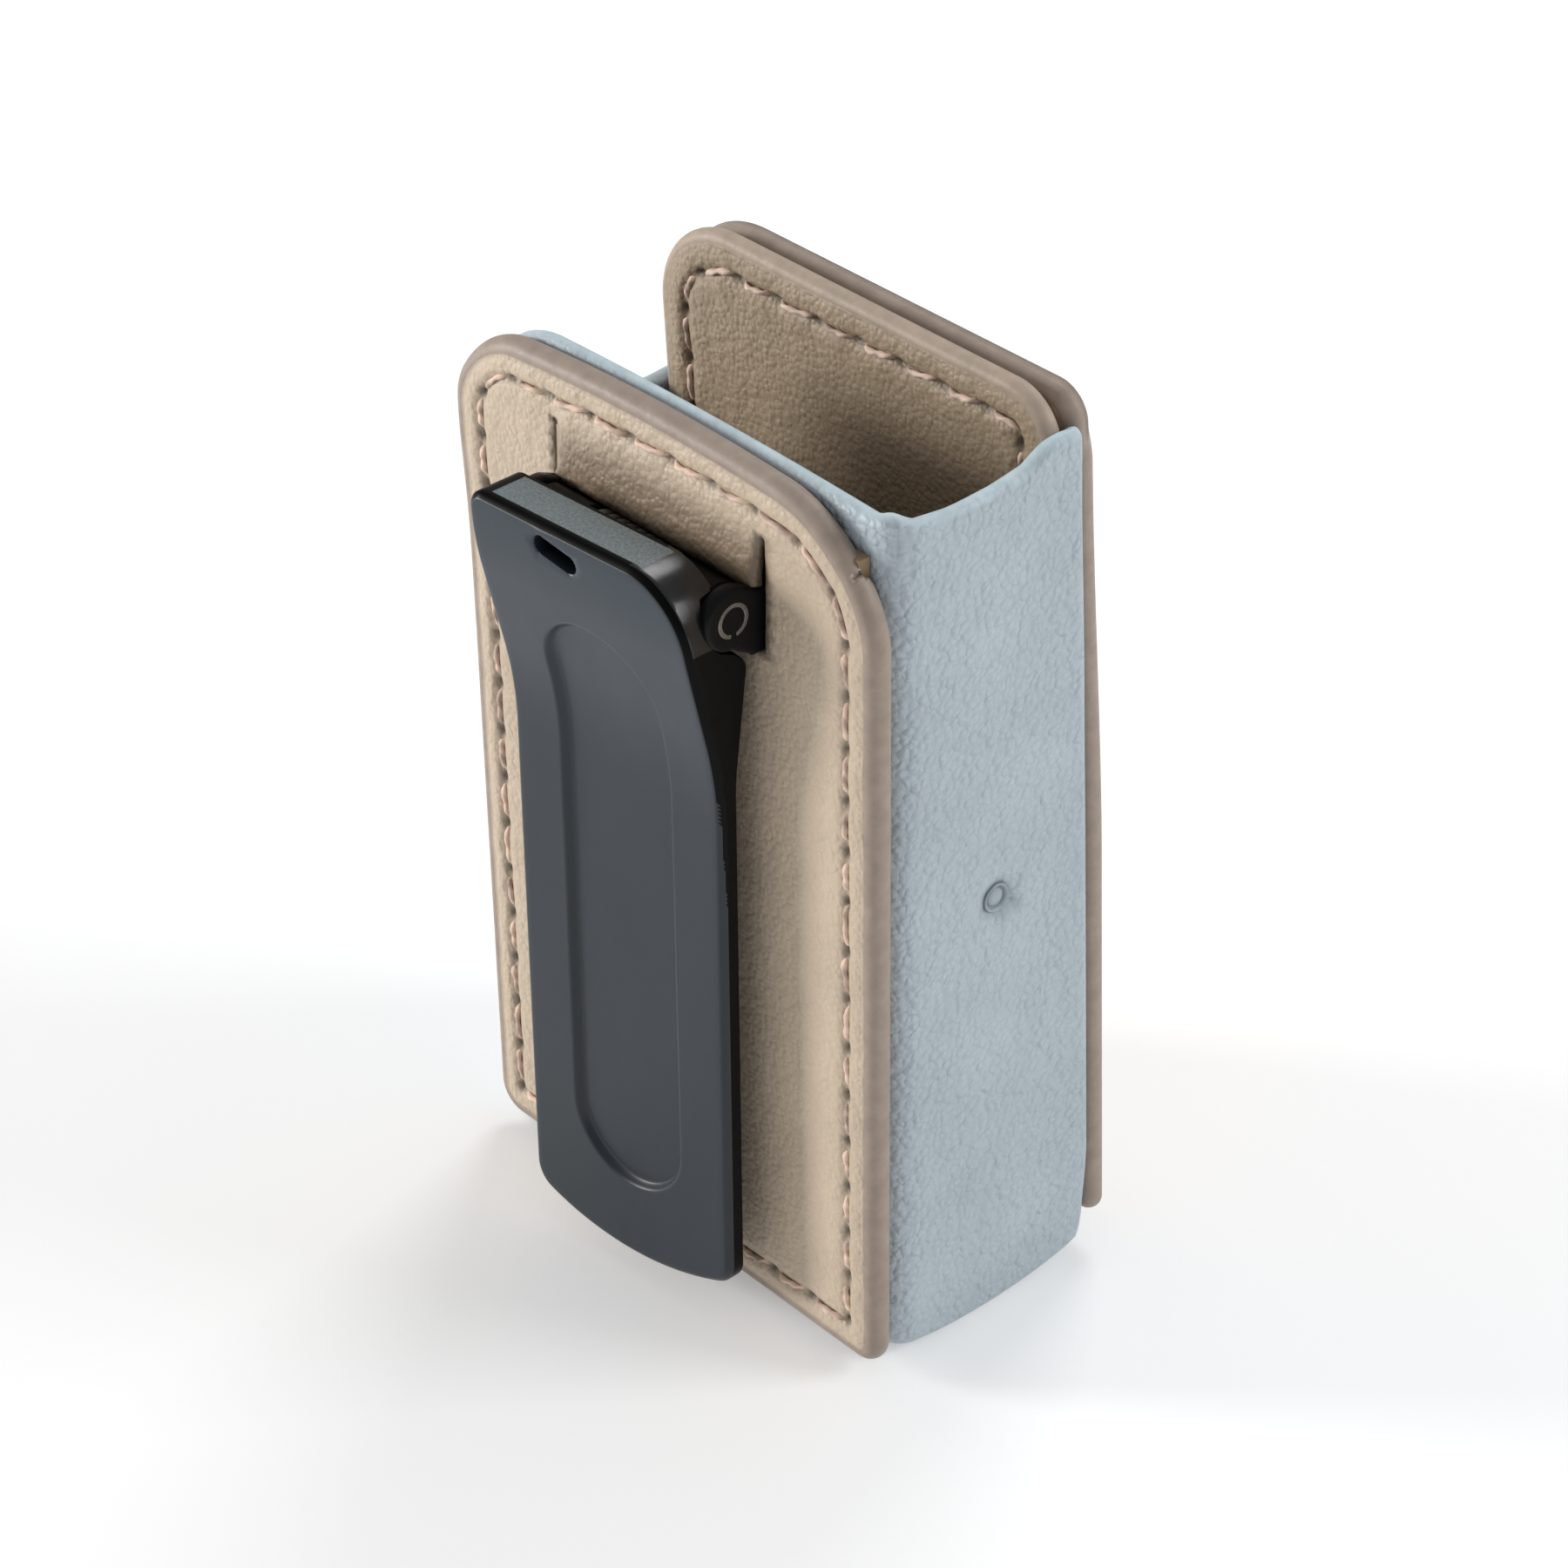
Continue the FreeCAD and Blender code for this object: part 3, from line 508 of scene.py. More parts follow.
def microfibre(name, tone):
    """Short-napped lining."""
    nodes = Nodes(name, Roughness=0.9, Sheen_Weight=0.35, Sheen_Roughness=0.4)
    nap = nodes.noise(0.22, 4.0, 0.7)
    brushed = nodes.noise(4.0, 3.0, 0.5, (1.0, 1.0, 0.6))
    dark = toned(tone, 0.72)
    base = nodes.mix(nodes.ramp(brushed, 0.3, 0.7), dark, tone)
    base = nodes.mix(nodes.ramp(nap, 0.35, 0.7, 0.0, 0.4), base, dark)
    return nodes.finish(base, None, [(nap, 0.5, 0.05)])


BEIGE = leather("beige_leather", colour(198, 180, 158), colour(148, 133, 121), 0.5, 0.5, 0.045)
TAUPE = leather("taupe_leather", colour(166, 147, 124), colour(166, 149, 133), 0.5, 0.52, 0.05)
BLUE = leather("blue_leather", colour(173, 184, 191), colour(180, 196, 202), 0.62, 0.5, 0.095)
LINING = microfibre("tan_lining", colour(120, 98, 78))
BOARD = fibreboard("stiffener_board", colour(150, 128, 98))
THREAD = thread("cream_thread", colour(216, 188, 170))
PAINTED = satin("painted_rivet", colour(150, 162, 170), 0.4, 0.1)
STEEL = metal("spring_steel", colour(150, 150, 152), 0.3)
BLACK = satin("black_plastic", colour(15, 15, 16), 0.3, 0.25, shine=0.12)
SATIN = satin("black_satin", colour(30, 38, 46), 0.36, 0.12, shine=0.42)
SIDES = satin("black_sides", colour(13, 13, 14), 0.35, 0.2, shine=0.08)
# The block's top: painted light, a grey copy of the black plastic where it faces the light, with
# its own grain.
LIT_TOP = satin("lit_grey_grained_top", colour(92, 101, 103), 0.4, 0.9, 0.22)
GLOSS = satin("rubbed_corner", colour(16, 17, 19), 0.24, 0.4, 0.3)

# ---- leather panels ----

TAB_LIFT = 0.8
SEAM = 3.0
STITCH_PITCH = 4.3
STITCH_LONG = 3.3
BOARD_INSET, BOARD_TOP_INSET = 2.3, 3.3


def seam_line(rect, radii):
    """Even points along a panel's seam, with the share of the way round of each."""
    loop = inset_loop(rect, radii, SEAM, 0.05)
    steps = np.linalg.norm(np.roll(loop, -1, axis=0) - loop, axis=1)
    length = steps.sum()
    along = np.concatenate([[0.0], np.cumsum(steps)[:-1]])
    return loop, along, length


def leather_panel(name, rect, radii, thick, material, seed, skin,
                  holes=(), lift=None, warp=None):
    """A turned-edge panel in its own frame: visible face at y = 0, hidden face at `thick`."""
    roll = thick / 2
    turns = [roll * (1 - math.cos(math.radians(a))) for a in (0, 12, 24, 36, 50, 64, 77, 90)]
    insets = turns + [roll + 0.25, roll + 0.5, roll + 0.85, 2.25, 2.34, 2.55, 2.72, 2.86,
                      SEAM, 3.14, 3.28, 3.5, 3.85, 4.3]
    loops = [inset_loop(rect, radii, inset, 0.42) for inset in insets]
    flat, faces, outline, cuts = triangulate(loops, 0.85, holes)
    x, z = flat.T
    depth = np.maximum(edge_distance(x, z, rect, radii), 0.0)
    turned = rolled(depth, roll)

    loop, along, length = seam_line(rect, radii)
    gap, spot = nearest(loop, x, z)
    count = round(length / STITCH_PITCH)
    phase = along[spot] / length * count
    in_hole = np.abs(phase - np.round(phase)) * length / count
    hole = hump(in_hole, 0.0, 0.42) * hump(gap, 0.0, 0.34)
    groove = hump(gap, 0.0, 0.36)
    pucker = np.cos(phase * math.tau) * hump(gap, 0.9, 0.75)
    run = np.roll(loop, -4, axis=0) - np.roll(loop, 4, axis=0)
    upright = np.abs(run[spot, 1]) / np.linalg.norm(run[spot], axis=1)
    front = turned.copy()
    front += 0.07 * hump(depth, roll + 0.28, 0.14)
    front -= 0.13 * hump(depth, (roll + SEAM) / 2 + 0.15, 0.55)
    front += 0.24 * groove + 0.3 * hole + 0.05 * pucker
    front -= 0.08 * hump(depth, SEAM + 1.1, 0.6)
    calm = smooth(depth / 2.5)
    front += (0.1 * waves(x, z, 17.0, seed) + 0.035 * waves(x, z, 5.0, seed + 1)) * calm

    hollow = (x > rect[0] + BOARD_INSET) & (x < rect[1] - BOARD_INSET)
    hollow &= (z > rect[2] + BOARD_INSET) & (z < rect[3] - BOARD_TOP_INSET)
    back = np.where(hollow, skin, thick) - turned
    raised = lift(x, z) if lift else np.zeros_like(x)
    front = front - raised
    back = back - raised
    front = np.minimum(front, back - 0.25 * smooth(depth / 0.4))
    front[outline] = roll
    # Painted shade: seam grooves and stitch holes darken, the upright seams most, and the slit
    # edges darken too.
    ragged = 0.5 + 0.5 * waves(x, z, 0.9, seed + 2)
    dark = np.clip(hole + groove * (0.06 + 0.3 * ragged) * (0.7 + upright), 0, 1)
    for cut in cuts:
        near, _ = nearest(flat[cut], x, z)
        dark = np.maximum(dark, 0.55 * hump(near, 0.0, 0.13))
    edge = smooth((roll + 0.3 - depth) / 0.18)
    verts, solid = slab(flat, faces, outline, cuts, front, back, bridged=False)
    if warp:
        verts[:, 0], verts[:, 2] = warp(verts[:, 0], verts[:, 2])
    # tone paints the raised tab a darker brown, painted shade with some wear.
    marks = {"edge": np.tile(edge, 2), "dark": np.tile(dark, 2),
             "tone": np.tile(smooth(raised / TAB_LIFT * 1.7) * 0.95, 2)}
    return new_piece(name, verts, solid, material, marks)


def stitching(name, rect, radii, seed, warp=None):
    """Short twisted stitches along a panel's seam; each dips into a hole at its ends."""
    draw = random.Random(seed)
    loop, along, length = seam_line(rect, radii)
    count = round(length / STITCH_PITCH)
    rows, sides = 15, 9
    parts = []
    for number in range(count):
        middle = (number + 0.5) * length / count
        half = STITCH_LONG / 2 * draw.uniform(0.72, 1.08) + 0.1
        slant = draw.uniform(-0.04, 0.24)
        thick = draw.uniform(0.2, 0.25)
        high = draw.uniform(0.02, 0.14)
        spin = draw.uniform(0, math.tau)
        ring = []
        for row in range(rows):
            t = -1 + 2 * row / (rows - 1)
            spot = np.searchsorted(along, (middle + t * half) % length) % len(loop)
            ahead = loop[(spot + 2) % len(loop)] - loop[spot - 2]
            ahead = ahead / np.hypot(*ahead)
            aside = np.array([-ahead[1], ahead[0]])
            centre = loop[spot] + aside * slant * math.sin(t * math.pi / 2)
            rise = -high + 0.55 * abs(t) ** 5 + 0.17 * abs(ahead[1])
            for side in range(sides):
                angle = math.tau * side / sides
                ply = 1 + 0.22 * math.cos(2 * angle - spin - t * 7.5)
                radius = thick * ply * (1 - 0.25 * t**6)
                x, z = centre + aside * radius * math.cos(angle)
                ring.append((x, rise + radius * math.sin(angle), z))
        parts.append((np.array(ring), grid_faces(rows, sides) + end_faces(rows, sides)))
    verts, faces = joined(parts)
    if warp:
        verts[:, 0], verts[:, 2] = warp(verts[:, 0], verts[:, 2])
    return new_piece(name, verts, faces, THREAD)


def shift_mm(x=0.0, y=0.0, z=0.0):
    return Matrix.Translation((x * MM, y * MM, z * MM))


def stand(piece, node, place=shift_mm(), body="pouch"):
    """Put a finished piece in the row frame and tie it to the CAD."""
    piece.data.transform(place)
    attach(piece, body)
    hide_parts(node)


def sewn_panel(name, prefix, slot, place, rect, radii, thick, material, seed, skin,
               warp=None, **shape):
    """A leather panel and its stitches, each in the place of the CAD's own."""
    panel = leather_panel(name, rect, radii, thick, material, seed, skin, warp=warp, **shape)
    stand(panel, prefix + "_panel", place)
    threads = stitching(prefix + "_threads", rect, radii, seed + 1, warp)
    stand(threads, prefix + "_stitching", place)


# Front panel: arched top, soft right corner, top left corner curling outwards, and a
# window with two slits whose leather tab laps over the clip base.
low, high = node_box("front_panel")
PANEL_FACE = low[1]
FRONT_RECT = (low[0] - 0.8, high[0] + 0.35, low[2] - 0.4, high[2] + 0.25)
FRONT_RADII = (2.6, 2.0, 10.0, 7.0)
FRONT_THICK, FRONT_SKIN = high[1] - low[1], 1.0
ARCH = 0.0028
WINDOW_HALF, WINDOW_BASE, WINDOW_TOP = 11.0, 58.3, 63.6
LEFT_SLIT, RIGHT_SLIT, SLIT_TOP = 0.14, 0.55, 67.6


def front_warp(x, z):
    top = smooth((z - 60.0) / 11.0)
    curl = 0.6 * hump(z, 64.0, 7.0) * np.clip(-x / 21.5, 0, 1) ** 4
    return x - curl, z - ARCH * x**2 * top


def tab_lift(x, z):
    inner = WINDOW_HALF - RIGHT_SLIT / 2
    rise = smooth((SLIT_TOP + 1.8 - z) / (SLIT_TOP + 1.8 - WINDOW_TOP))
    beside = np.where(z < SLIT_TOP, np.abs(x) < inner, smooth((inner + 0.5 - np.abs(x)) / 2.0))
    return TAB_LIFT * rise * beside * (z > WINDOW_TOP - 0.5)


tab_left, tab_right = LEFT_SLIT - WINDOW_HALF, WINDOW_HALF - RIGHT_SLIT
window = [(-WINDOW_HALF, WINDOW_BASE), (WINDOW_HALF, WINDOW_BASE)]
window += arc((WINDOW_HALF - RIGHT_SLIT / 2, SLIT_TOP), RIGHT_SLIT / 2, 0, 180, 0.12)
window += [(tab_right, WINDOW_TOP), (tab_left, WINDOW_TOP)]
window += arc((-WINDOW_HALF + LEFT_SLIT / 2, SLIT_TOP + 0.2), 0.3, -70, 250, 0.12)
window = spaced(window, 0.35)
sewn_panel("front_panel_leather", "front", "beige_leather", shift_mm(y=PANEL_FACE),
           FRONT_RECT, FRONT_RADII, FRONT_THICK, BEIGE, 11, FRONT_SKIN,
           holes=[window], lift=tab_lift, warp=front_warp)


def back_frame(node, outward):
    """Rectangle of a leaning panel in its own frame, its thickness and its place."""
    low, high = node_box(node)
    along, across = math.cos(LEAN), math.sin(LEAN)
    front_plane = low[1] * along + high[2] * across
    back_plane = high[1] * along + low[2] * across
    base = low[2] * along - high[1] * across
    top = high[2] * along - low[1] * across
    place = Matrix.Rotation(LEAN, 4, "X")
    if outward:
        place = place @ shift_mm(y=back_plane) @ Matrix.Diagonal((1.0, -1.0, 1.0, 1.0))
    else:
        place = place @ shift_mm(y=front_plane)
    return (low[0], high[0], base, top), back_plane - front_plane, place


def grown(rect, extra, right=0.0):
    """A rolled edge hides a little of a panel, so its outline is drawn larger."""
    return (rect[0] - extra, rect[1] + extra + right, rect[2] - extra, rect[3] + extra)


INNER_RADII, INNER_BOARD_ROOM = (0.8, 0.8, 4.2, 8.0), 0.85
inner_rect, inner_thick, inner_place = back_frame("inner_back_panel", False)
inner_rect = grown(inner_rect, 0.2, 0.4)
sewn_panel("inner_back_leather", "inner_back", "taupe_leather", inner_place,
           inner_rect, INNER_RADII, inner_thick, TAUPE, 21, inner_thick - INNER_BOARD_ROOM)

OUTER_RADII, OUTER_BOARD_ROOM = (1.6, 1.2, 2.6, 9.6), 0.95
PULL = 0.5
outer_rect, outer_thick, outer_place = back_frame("outer_back_panel", True)
outer_rect = grown(outer_rect, 0.15)


def outer_warp(x, z):
    """The outer panel's right edge flares a little towards its foot."""
    return x + smooth(x / 15.0) * (0.35 - 0.85 * smooth((z - 35.0) / 35.0)), z


def pulled_in(_, z):
    """Above the sleeve's flange the seam pulls the outer panel against the inner one."""
    return -PULL * smooth((z - 68.5) / 4.0)


sewn_panel("outer_back_leather", "outer_back", "beige_leather", outer_place,
           outer_rect, OUTER_RADII, outer_thick, BEIGE, 31, outer_thick - OUTER_BOARD_ROOM,
           lift=pulled_in, warp=outer_warp)

# ---- sleeve: one skin down the outside, under the hem, and up the inside ----

low, high = node_box("sleeve")
HALF_WIDTH = high[0]
SLEEVE_FRONT, SLEEVE_BACK, SLEEVE_TOP = low[1], high[1], high[2]
WALL, FLANGE, HEM = 1.2, 0.8, 6.0
FRONT_FOLD, BACK_FOLD = 2.4, 1.0
WALL_FOOT, RIM_ROUND = 3.4, 0.75
LEFT_TOP, BEHIND_TOP = 60.3, 71.0
LEFT_ROUND, LEFT_ROUND_FROM = 8.0, -13.5
FLOOR_DROOP, SIDE_SWELL, BACK_SWELL, DIMPLE = 1.4, 0.42, 0.65, 0.5
RIVET_RADIUS, RIVET_Z = 1.25, 37.5
RIVET_Y = node_box("side_rivets")[0][1] + RIVET_RADIUS


def refined(start, end, step, middle, reach, fine):
    """Numbers from start to end, closer together within `reach` of `middle`."""
    near = np.arange(middle - reach, middle + reach, fine)
    before = np.linspace(start, middle - reach, max(2, round(abs(middle - reach - start) / step)))
    after = np.linspace(middle + reach, end, max(2, round(abs(end - middle - reach) / step)))
    return np.concatenate([before[:-1], near, after])


SIDE_SHARES = refined(0.0, 1.0, 0.045, 0.5 + RIVET_Y / 20, 0.16, 0.0125)
FLAT_SHARES = np.linspace(0, 1, 44)
CORNER_TURNS = np.linspace(0, 90, 8)


def sleeve_ring(level, side, front, back):
    """One level line of the sleeve, inset by the given amounts at the sides, front and back."""
    x1, y0 = HALF_WIDTH - side, SLEEVE_FRONT + front
    y1 = SLEEVE_BACK - LEAN * level - back
    near = max(FRONT_FOLD - max(side, front), 0.2)
    far = max(BACK_FOLD - max(side, back), 0.2)
    points = []
    for (cx, cy, r, start), shares, end in (
        ((near - x1, y0 + near, near, 180), FLAT_SHARES, (x1 - near, y0)),
        ((x1 - near, y0 + near, near, 270), SIDE_SHARES, (x1, y1 - far)),
        ((x1 - far, y1 - far, far, 0), FLAT_SHARES, (far - x1, y1)),
        ((far - x1, y1 - far, far, 90), 1 - SIDE_SHARES[::-1], (-x1, y0 + near)),
    ):
        angles = np.radians(start + CORNER_TURNS)
        bend = np.stack([cx + r * np.cos(angles), cy + r * np.sin(angles)], axis=1)
        points.append(bend)
        points.append(bend[-1] + np.outer(shares[1:-1], np.array(end) - bend[-1]))
    return np.concatenate(points)


def rim_height(x, y):
    """Height of the rim round the sleeve: low on the left, sagging on the right."""
    depth = (y - SLEEVE_FRONT) / (SLEEVE_BACK - 3.0 - SLEEVE_FRONT)
    right = np.interp(depth, [0.0, 0.12, 0.3, 0.5, 0.72, 0.9, 1.0],
                      [72.5, 71.7, 71.3, 71.35, 71.75, 72.6, 72.9])
    front = SLEEVE_TOP - 0.0012 * x**2
    corner = np.clip(LEFT_ROUND_FROM - x, 0, LEFT_ROUND - 0.01)
    front = front - LEFT_ROUND + np.sqrt(LEFT_ROUND**2 - corner**2)
    left = LEFT_TOP + 4.0 * np.exp(-(y - SLEEVE_FRONT) / 2.4)
    behind = BEHIND_TOP - 10.4 * smooth((-10.0 - x) / 8.3) - 0.3 * smooth((x - 14.0) / 6.0)
    result = np.where(depth < 0.5, front, behind)
    rightness = smooth((x - HALF_WIDTH + 2.6) / 2.0)
    leftness = smooth((-x - HALF_WIDTH + 2.2) / 2.0)
    result = result * (1 - rightness) + right * rightness
    return result * (1 - leftness) + left * leftness


base_ring = sleeve_ring(20.0, 0, 0, 0)
RIM = rim_height(base_ring[:, 0], base_ring[:, 1])
BACKNESS = smooth((base_ring[:, 1] - 8.0) / 1.5)


def sag(y, z):
    """The soft floor's droop, which dies out a few millimetres up the walls."""
    middle = np.clip(1 - ((y - 0.4) / 10.4) ** 2, 0, 1)
    return FLOOR_DROOP * middle * np.exp(-np.maximum(z, 0) / 3.2)


def bend_sleeve(verts):
    """Pillowed walls, the dimples round the rivets and the drooping floor."""
    x, y, z = verts.T.copy()
    side = np.sign(x) * smooth((np.abs(x) - HALF_WIDTH + 3.5) / 2.0)
    across = np.clip(1 - ((y + 0.8) / 10.0) ** 2, 0, 1)
    upward = smooth(z / 14.0) * smooth((74.0 - z) / 18.0)
    swell = SIDE_SWELL * across * upward + 0.12 * waves(y, z, 13.0, 41) * across
    swell += 0.2 * across * hump(z, 70.0, 2.5)
    swell += BACK_SWELL * hump(y, 9.4, 3.2) * smooth((z - 1.0) / 9.0)
    gap = np.hypot(y - RIVET_Y, z - RIVET_Z)
    angle = np.arctan2(z - RIVET_Z, y - RIVET_Y)
    low_right = 0.6 + 0.4 * np.cos(angle + 0.7)
    swell -= DIMPLE * hump(gap, 0.0, 1.75)
    swell += 0.16 * np.cos(6 * angle + 0.5) * hump(gap, 2.1, 0.8) * low_right
    swell -= 0.36 * hump(angle, -0.75, 0.3) * hump(gap, 1.9, 0.75)
    verts[:, 0] = x + side * swell
    verts[:, 2] = z - sag(y, z)
    return verts


outer_levels = refined(WALL_FOOT, SLEEVE_TOP - WALL_FOOT, 0.95, RIVET_Z, 3.2, 0.26)
verts, edge_paint_and_highlight, shade_mark = [], [], []
size = len(base_ring)
zero = np.zeros(size)


def add_row(insets, level, edge=0.0, dark=0.0):
    """Add one ring of points.  insets are (side, front, back) and level may vary round it."""
    side, front, back = insets
    x, y = sleeve_ring(0.0, side, front, back).T
    lean_part = smooth(y / (SLEEVE_BACK - 1.0)) * LEAN
    verts.append(np.stack([x, y - lean_part * level, level], axis=1))
    edge_paint_and_highlight.append(zero + edge)
    shade_mark.append(zero + dark)


def scaled(level):
    """A wall level stretched so that the top of the wall follows the rim."""
    start, end = 44.0, SLEEVE_TOP - WALL_FOOT
    if level <= start:
        return np.full(size, level)
    return start + (level - start) / (end - start) * (RIM - WALL_FOOT - start)


FOLD = 1.1
# The hem's inner edge is a little lighter and darkened by painted shade.
add_row((HEM,) * 3, zero + 1.15, 0.3, 0.2)
add_row((HEM - 0.15,) * 3, zero + 0.2, 0.3)
for inset in (5.7, 5.0, 4.2, 3.6):
    add_row((inset,) * 3, zero)
for turn in range(0, 91, 15):
    a = math.radians(turn)
    around = FOLD * (1 - math.sin(a))
    behind = WALL_FOOT * (1 - math.sin(a))
    level = (FOLD + BACKNESS * (WALL_FOOT - FOLD)) * (1 - math.cos(a))
    add_row((around, around, behind), level)
for level in outer_levels:
    add_row((0.0,) * 3, scaled(level))
BEAD = 0.08
for below, out in ((3.0, 0.0), (2.7, 0.2), (2.3, 0.5), (1.6, 0.8), (1.0, 1.0)):
    add_row((-BEAD * out, 0.0, 0.0), RIM - below)
# The roll over the rim is painted lighter towards its top, a painted highlight; the band just
# inside it is lighter as well.
for turn in range(0, 181, 20):
    a = math.radians(turn)
    share = (1 - math.cos(a)) / 2
    add_row((share * (WALL + 2 * BEAD) - BEAD, share * WALL, share * FLANGE),
            RIM - RIM_ROUND * (1 - math.sin(a)), edge=math.sin(a))
for below in (1.2, 2.2, 3.0):
    add_row((WALL + BEAD * smooth(3.0 - below), WALL, FLANGE), RIM - below, edge=0.6)
for level in np.linspace(SLEEVE_TOP - 4.5, 4.6, 60):
    add_row((WALL, WALL, FLANGE), scaled(level))
for around, behind, level in ((1.3, 1.6, 3.0), (1.5, 2.6, 1.9), (2.0, 3.8, 1.3), (3.0, 4.6, 1.2),
                              (4.5, 5.2, 1.2), (5.8, 5.9, 1.2)):
    add_row((around, around, behind), zero + level)
sleeve_faces = grid_faces(len(verts), size, wrap_rows=True)
sleeve_verts = bend_sleeve(np.concatenate(verts))
shade_mark = np.concatenate(shade_mark)
x, y, z = sleeve_verts.T
rivet_gap = np.hypot(y - RIVET_Y, z - RIVET_Z)
rivet_angle = np.arctan2(z - RIVET_Z, y - RIVET_Y)
# Painted shade on the leather round each rivet: a dark ring, deepest below it towards the back, a
# painted shadow.
outside = np.abs(x) > HALF_WIDTH - 0.9
shade_mark += 0.3 * hump(rivet_gap, 1.3, 0.3) * outside
shade_mark += 0.3 * hump(rivet_gap, 1.8, 0.5) * hump(rivet_angle, -0.8, 0.5) * outside
sleeve = new_piece("sleeve_leather", sleeve_verts, sleeve_faces, BLUE,
                   {"edge": np.concatenate(edge_paint_and_highlight), "dark": shade_mark})
stand(sleeve, "sleeve")

# Floor panel, seen from below through the hem.
low, high = node_box("bottom_panel")
flat_rect = (low[0], high[0], low[1], high[1])
floor_loops = [inset_loop(flat_rect, (1.5,) * 4, i, 0.8) for i in (0, 0.05, 0.2, 0.4, 1.5)]
flat, faces, outline, cuts = triangulate(floor_loops, 1.1)
x, y = flat.T
depth = np.maximum(edge_distance(x, y, flat_rect, (1.5,) * 4), 0)
half = (high[2] - low[2]) / 2
turned = rolled(depth, half)
droop = sag(y, 0.0) * smooth(depth / 3)
under = low[2] + turned - droop + 0.04 * waves(x, y, 8.0, 51)
over = under + (high[2] - low[2] - 2 * turned)
verts, solid = slab(flat, faces, outline, cuts, under, over, bridged=False)
verts = verts[:, [0, 2, 1]]
floor_panel = new_piece("floor_leather", verts, solid, BLUE)
stand(floor_panel, "bottom_panel")

# Lining: a thin napped shell against the inside of the front, the sides and the floor.
low, high = node_box("sleeve_lining")
LINING_THICK, BEND = 0.5, 1.2


def lining_shell(inset):
    """Points of the lining's one face, pushed inwards by `inset`, as a grid of rows."""
    x1, y0 = high[0] - inset, low[1] + inset
    back = high[1]
    left = [(-x1, y) for y in np.linspace(back, y0 + BEND, 14)]
    left_bend = [(-x1 + BEND - BEND * math.cos(a), y0 + BEND - BEND * math.sin(a))
                 for a in np.radians([22, 45, 68])]
    front = [(x, y0) for x in np.linspace(-x1 + BEND, x1 - BEND, 40)]
    right_bend = [(-x, y) for x, y in left_bend[::-1]]
    right = [(-x, y) for x, y in left[::-1]]
    path = np.array(left + left_bend + front + right_bend + right)
    px, py = path.T
    grid = []
    rim = rim_height(px * 1.12, py - 0.6) - 2.4
    for share in np.linspace(0, 1, 50):
        level = low[2] + BEND + (rim - low[2] - BEND) * (1 - share)
        tilt = LEAN * level * smooth((py + 6) / 12)
        ripple = 0.1 * waves(px + py, level, 9.0, 61)
        y = py - tilt + ripple * (np.abs(px) < x1 - 1)
        x = px - np.sign(px) * np.abs(ripple) * (np.abs(px) >= x1 - 1)
        grid.append(np.stack([x, y, level], axis=1))
    for turn in (30, 60, 90):
        a = math.radians(turn)
        pull = BEND * (1 - math.cos(a))
        x = px * (1 - pull / x1)
        y = py + pull * (py < back - 3) * 0.8
        level = np.full(len(path), low[2] + inset + (BEND - inset) * (1 - math.sin(a)))
        grid.append(np.stack([x, y, level], axis=1))
    last_x, last_y, level = grid[-1].T
    for share in (0.25, 0.5, 0.75, 0.97):
        x = last_x * (1 - share)
        y = last_y + (back - 0.2 - last_y) * share
        grid.append(np.stack([x, y, level], axis=1))
    return np.array(grid)


outer_grid, inner_grid = lining_shell(0.0), lining_shell(LINING_THICK)
rows, columns = outer_grid.shape[:2]
verts = np.concatenate([outer_grid.reshape(-1, 3), inner_grid.reshape(-1, 3)])
offset = rows * columns
faces = grid_faces(rows, columns, wrap_columns=False)
faces += [face[:1] + face[:0:-1] for face in grid_faces(rows, columns, False, False, offset)]
border = [(0, c) for c in range(columns - 1)] + [(r, columns - 1) for r in range(rows - 1)]
border += [(rows - 1, c) for c in range(columns - 1, 0, -1)]
border += [(r, 0) for r in range(rows - 1, 0, -1)]
numbers = [r * columns + c for r, c in border]
for k, near in enumerate(numbers):
    faces.append((numbers[k - 1], near, near + offset, numbers[k - 1] + offset))
lining = new_piece("lining_cloth", verts, faces, LINING)
stand(lining, "sleeve_lining")

# ---- side rivets ----

RIVET_PROUD = 0.12
profile = [(0.0001, 0.02), (0.35, 0.03), (0.62, -0.02), (0.78, -0.16), (0.88, -0.14),
           (0.98, 0.06), (1.1, 0.12), (1.2, 0.05), (RIVET_RADIUS, -0.12),
           (RIVET_RADIUS, -0.5), (0.0001, -0.5)]
rivet_parts = [
    revolve([(r, sign * x) for r, x in profile],
            (sign * (HALF_WIDTH + RIVET_PROUD), RIVET_Y, RIVET_Z), parts=40)
    for sign in (1, -1)
]
verts, faces = joined(rivet_parts)
from_axis = np.hypot(verts[:, 1] - RIVET_Y, verts[:, 2] - RIVET_Z)
# Painted shade: darker in the ring groove and round the rim where the rivet meets the leather.
groove_shade = 0.55 * hump(from_axis, 0.8, 0.12) + smooth((from_axis - 1.12) / 0.12)
rivets = new_piece("painted_rivets", verts, faces, PAINTED, {"dark": groove_shade * 0.75}, 50)
stand(rivets, "side_rivets")

# ---- lever ----

